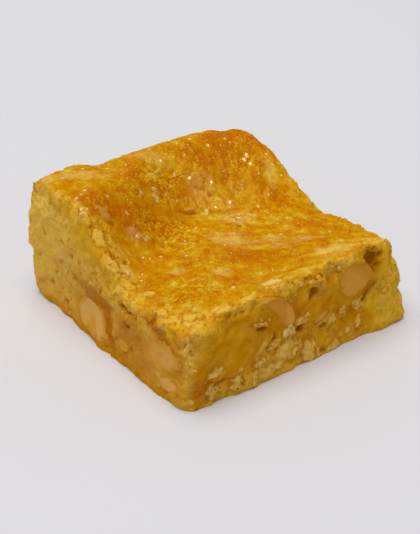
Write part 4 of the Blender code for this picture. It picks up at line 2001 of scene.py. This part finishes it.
LUMPS = (
    *on_side(
        F, (-5.2, 9.7, 1.9, 1.5, -20, 0.45), (-8.8, 8.1, 1.8, 0.7, 15, 0.35),
        (-12.5, 14.5, 1.6, 0.6, 0, 0.3), (-13.4, 5.2, 1.5, 0.8, 13, 0.4), (-14.8, 2.3, 0.8, 1.7, -15, 0.4),
        (-17.2, 2.3, 0.5, 0.5, 0, 0.4), (-18.6, 5.8, 0.8, 0.6, 0, 0.3), (-19.4, 3.2, 1.4, 1.6, 20, 0.35),
        (-25.4, 2.7, 1.4, 1.7, 10, 0.4), (-24.5, 7, 1.9, 0.9, 27, 0.3), (-6.4, 5.1, 3.1, 2.2, 10, 0.25),
        (-3.7, 4.6, 0.8, 0.8, 0, 0.4), (-10.4, 2.7, 3, 1.4, 10, 0.25), (10.4, 8.4, 0.8, 1.7, -10, 0.3),
        (15.3, 4.3, 0.7, 2.1, -8, 0.25), (12.1, 3.2, 0.7, 0.9, 0, 0.3), (0.3, 2.6, 1.8, 2.6, 0, 0.4),
        (3.3, 1.2, 0.9, 0.9, 0, 0.35), (7.8, 1.2, 1.9, 1.2, 0, 0.35), (-2, 10.6, 1.7, 0.8, 0, 0.35),
        (7.2, 7.6, 1.4, 1.3, 40, 0.35), (15.1, 8.9, 1.9, 1.3, 20, 0.4), (22.9, 9.4, 1, 0.8, 0, 0.3),
        (20.6, 18.8, 0.8, 0.8, 0, 0.4), (-30.6, 1.9, 1, 0.9, 0, 0.45),
    ),
    *on_side(
        T, (-28.6, 3.4, 2.6, 1.3, -75, 0.6), (-29.2, -1.2, 2.2, 1.4, -60, 0.55),
        (-26.6, 1.2, 1.5, 0.9, -40, 0.4), (-29.4, 8.4, 1.6, 1, -80, 0.5),
        (-28.2, -6.4, 1.8, 1.1, -70, 0.5), (-27, -11.4, 1.6, 1, -50, 0.45),
        (-28.9, -19.4, 1.7, 1.2, -80, 0.45), (-25.6, -25.6, 1.9, 1.3, -30, 0.45),
        (-20.4, -28.6, 1.7, 0.9, -10, 0.4), (-6.8, -26.8, 2.4, 1.5, -20, 0.35),
    ),
    *across(
        (6.3, 16.2, 1.5, 1.2, 0.45), (8.4, 13.6, 1.3, 1.1, 0.4), (4.6, 12, 1.2, 0.9, 0.4),
        (-24.2, 8.6, 1.6, 1.2, 0.35),
    ),
)

# Rims of burst bubbles, each with a painted highlight.
RINGS = (
    *across((1.3, 13, 1.5, 1.3, 0.3), (6.1, -0.4, 1.2, 1.2, 0.25), (14.5, 11, 1.3, 1, 0.2)),
)

# Shining beads on the top, each with a painted highlight.
SPARKS = (
    (-4.2, 19.4, 0.5), (-1, 17, 0.5), (-5.8, 16.2, 0.45), (-2.2, 20.6, 0.45), (1.8, 19.2, 0.5),
    (-3.6, 15.2, 0.4), (-6.5, 16.1, 0.6), (-7.6, 14.3, 0.6), (-6.9, 14, 0.6), (-7.4, 13.2, 0.6),
    (-11.1, 14.3, 0.55), (0.2, 22.8, 0.55), (-28.3, 13.5, 0.6), (-29.2, 10.2, 0.45), (-27.9, 9.8, 0.4),
    (-26.6, 14.2, 0.5), (-25.2, 15, 0.5), (-21, 12.6, 0.5), (-18.4, 8.9, 0.6), (-18.8, 4.4, 0.6),
    (-17.2, 3.8, 0.6), (-16.5, -1.5, 0.6), (-25.5, 24.4, 0.6), (-19.5, 25.4, 0.5), (-14.8, 26.4, 0.5),
    (-9, 23.6, 0.5), (7.2, 25.8, 0.5), (11.4, 26, 0.65), (14, 22, 0.5), (19.8, 22.4, 0.65),
    (20.9, 13.7, 0.6), (20.2, 15.2, 0.65), (21.4, 15.8, 0.6), (5, 17.5, 0.5), (9.4, 14.6, 0.6),
    (4.6, 9.8, 0.55), (3.8, 8.9, 0.6), (10.6, 8.6, 0.5), (15.6, 4, 0.5), (8.4, 2.6, 0.6), (6.6, 2, 0.6),
    (7.2, 0.4, 0.55), (-8.4, 0.8, 0.5), (-3, 4, 0.5), (-12, -4.6, 0.5), (2.4, -3, 0.5), (17, -5, 0.5),
    (8, -18, 0.5), (-4, -20.6, 0.5), (-12.6, -22, 0.6), (20.4, -16, 0.5),
)

PATCHES = {
    Tone.PALE: (
        *across(
            (-22.5, 23.5, 6.5, 2.6, 0.35), (-1.5, 24.5, 4.9, 2.4, 0.3), (24.5, 9.5, 1.6, 3.9, 0.3),
            (6.3, 15.2, 3.1, 2.8, 0.3), (8.6, 9.4, 4.7, 1.9, 0.15), (7.9, 3, 4.2, 3.6, 0.5),
            (-0.1, -4.5, 4.3, 3.5, 0.35), (14.2, -25.5, 4.6, 4, 0.7), (-9.9, -15, 2.2, 2, 0.4),
            (-17.3, -9.1, 1.8, 1.7, 0.4), (-28.5, 3.6, 4, 2, 0.5), (-28.2, -2.4, 3.5, 2.2, 0.8),
        ),
        *on_side(T, (-6.8, -26.8, 2.4, 2, -20, 1), (-29, 29, 4, 5, 0, 0.5)),
        *on_side(
            F, (12.7, 19.6, 4.2, 1.6, 0, 0.7), (-10.5, 17.9, 5.2, 1.2, -18, 0.35),
            (-30.5, 13.5, 3.4, 4.2, 20, 0.6), (31, 12, 4, 15, 0, 0.65), (-6, 5, 9, 4, 0, 0.3),
            (24, 5, 5, 4, 0, 0.25),
        ),
        *on_side(
            L, (-30, 13.5, 3, 4.4, -20, 0.6), (27, 19, 8, 14, 0, 0.85), (29, 27, 7, 4, 0, 1),
            (20, 19, 10, 8, 0, 0.6), (11, 14, 12, 7, 0, 0.35),
        ),
    ),
    Tone.BROWN: (
        *on_side(T, (22, 22, 10, 8, 0, 1.2), (0.1, 10.8, 4.3, 0.8, -8, 0.8)),
        *across(
            (-26, 9.9, 7.6, 5, 0.95), (-20.3, 7.9, 5.4, 3.4, 0.9), (-17, 12, 6, 4, 0.4),
            (10.6, 19.8, 8.7, 4.2, 0.8), (-7.5, 17.6, 8.1, 3.3, 0.5), (23.6, 12.6, 1.8, 2.4, 0.6),
            (20.7, 5.4, 4.8, 3.6, 0.65), (13.3, 15, 6.8, 3.1, 0.6), (4, 13, 8, 3, 0.45),
            (19.8, 0.7, 5.8, 2.4, 0.5), (21, -12.8, 5.8, 3, 0.45), (-1.3, -14.1, 8.4, 2.3, 0.6),
            (-10.5, 5.6, 5.5, 3.7, 0.4), (-10.1, -6.3, 6.3, 1.4, 0.5), (-24, -17, 5.9, 1.8, 0.35),
            (-7.9, -16.4, 2.4, 1.5, 0.5),
        ),
    ),
    # Painted sheen along the top's streaks.
    Tone.SHEEN: (
        *across((3.8, -10.8, 6.8, 1.9, 1), (-18.8, 4.6, 2, 1.4, 0.8)),
        Spot(T, 11, -13.6, 6.4, 1.7, -30, 1),
    ),
    Tone.GLAZE: (
        *across((-27.4, 6, 2.2, 1.6, 1), (10.5, 18.5, 9, 5, 0.5), (-7, 15, 7, 3, 0.5)),
    ),
    Tone.ROUGH: (
        *on_side(
            F, (-6, 6, 9, 5, -12, 0.4), (-20, 3.5, 9, 3.5, 0, 0.4), (9, 6, 6, 4, 0, 0.35),
            (22.5, 9, 4, 3, 0, 0.3), (27, 8.5, 7, 9, 0, 0.3), (2, 17, 4, 3, 0, 0.3),
        ),
        *on_side(L, (-6, 15, 14, 4, 0, 0.5), (16, 8, 8, 5, 0, 0.25)),
        *across(
            (-10.5, 3.7, 9, 6.5, 0.85), (-3.5, 17.7, 6.5, 6, 0.8), (7.4, 2, 5, 4.5, 0.75),
            (-11, -8.4, 8, 5, 0.45), (-26.5, 9.7, 6, 5, 0.4), (6.3, -12.2, 9, 4, 0.5),
            (-19.8, -18.5, 8, 5, 0.7),
        ),
        *on_side(T, (22.4, 17.6, 5, 5, 0, 0.4), (16.5, -27, 8, 4, 0, 0.4)),
        Spot(FL, -6, 8, 14, 6, 0, 0.7),
        Spot(FR, 0, 12, 16, 4, 0, 0.5),
    ),
    Tone.GOLD: (
        *on_side(L, (26, 18, 5, 12, 0, 1), (28, 27, 8, 4, 0, 1), (12, 20, 12, 3, 0, 0.5)),
        *on_side(
            F, (25, 6, 8, 7, 0, 1), (26, 15, 5.5, 7, 0, 1), (4, 3, 9, 4, 0, 0.3), (-6, 0, 26, 1.8, 0, 0.9),
            (-9, 8, 4, 3, 0, 0.6),
        ),
    ),
    Tone.AMBER: (
        *on_side(L, (0, 0.5, 34, 3.2, 0, 1), (-29, 6, 5, 8, 0, 0.7), (-14, 3, 12, 4, 0, 0.35)),
    ),
    Tone.RED: (
        *on_side(
            L, (3, 11, 7, 2.2, 4, 1), (-3, 7, 6, 1.8, 60, 1), (-22, 13.9, 7.5, 1.7, 13, 1),
            (-10.5, 8, 6, 6, 0, 0.65), (-14, 3.5, 9, 3, 0, 0.5), (-27.5, 12, 4, 5, 0, 0.6),
            (6, 12, 7, 2.6, 10, 0.7),
        ),
        *on_side(
            F, (-10.5, 17.9, 5.4, 1.4, -18, 0.7), (-29, 4.2, 2.6, 2.4, 0, 0.8), (-3, 14, 4, 0.8, -75, 0.5),
            (17.8, 12, 3, 1.2, 30, 0.8), (19.1, 18.2, 2.6, 3, -10, 0.5),
        ),
    ),
}

CRUMB_CLUSTERS = (
    (Spot(F, -5.2, 9.4, 2.0, 1.5), 11, 0.2),
    (Spot(F, -12.5, 14.2, 2.2, 1.0), 5, 0.8),
    (Spot(F, -8.8, 8.1, 1.8, 0.8, 15), 5, 0.7),
    (Spot(F, -13.4, 5.0, 1.4, 0.8, 13), 5, 0.3),
    (Spot(F, -14.8, 2.3, 0.7, 1.5), 6, 0.2),
    (Spot(F, -19.3, 3.2, 1.5, 1.6), 5, 0.6),
    (Spot(F, -25.2, 2.8, 1.5, 1.6), 5, 0.6),
    (Spot(F, -1.0, 10.8, 1.8, 1.0), 6, 0.7),
    (Spot(F, 10.4, 8.4, 0.8, 1.6), 5, 0.7),
    (Spot(F, 15.6, 9.0, 2.0, 1.2, 20), 6, 0.8),
    (Spot(F, 1.5, 18.6, 3.0, 0.9), 5, 0.9),
)


def main() -> None:
    """Builds the cake, its nuts and crumbs, then the studio."""
    logging.basicConfig(level=logging.INFO, format="%(name)s: %(message)s")
    cake = Cake(PITS, DENTS, LUMPS, RINGS, SPARKS, PATCHES, NUTS, STREAKS).build()
    nut_finish = NutFinish().material()
    for nut in NUTS:
        nut.build(FORM, nut_finish)
    Crumbs(CRUMB_CLUSTERS).build(cake)
    Studio().build()


if __name__ == "__main__":
    main()
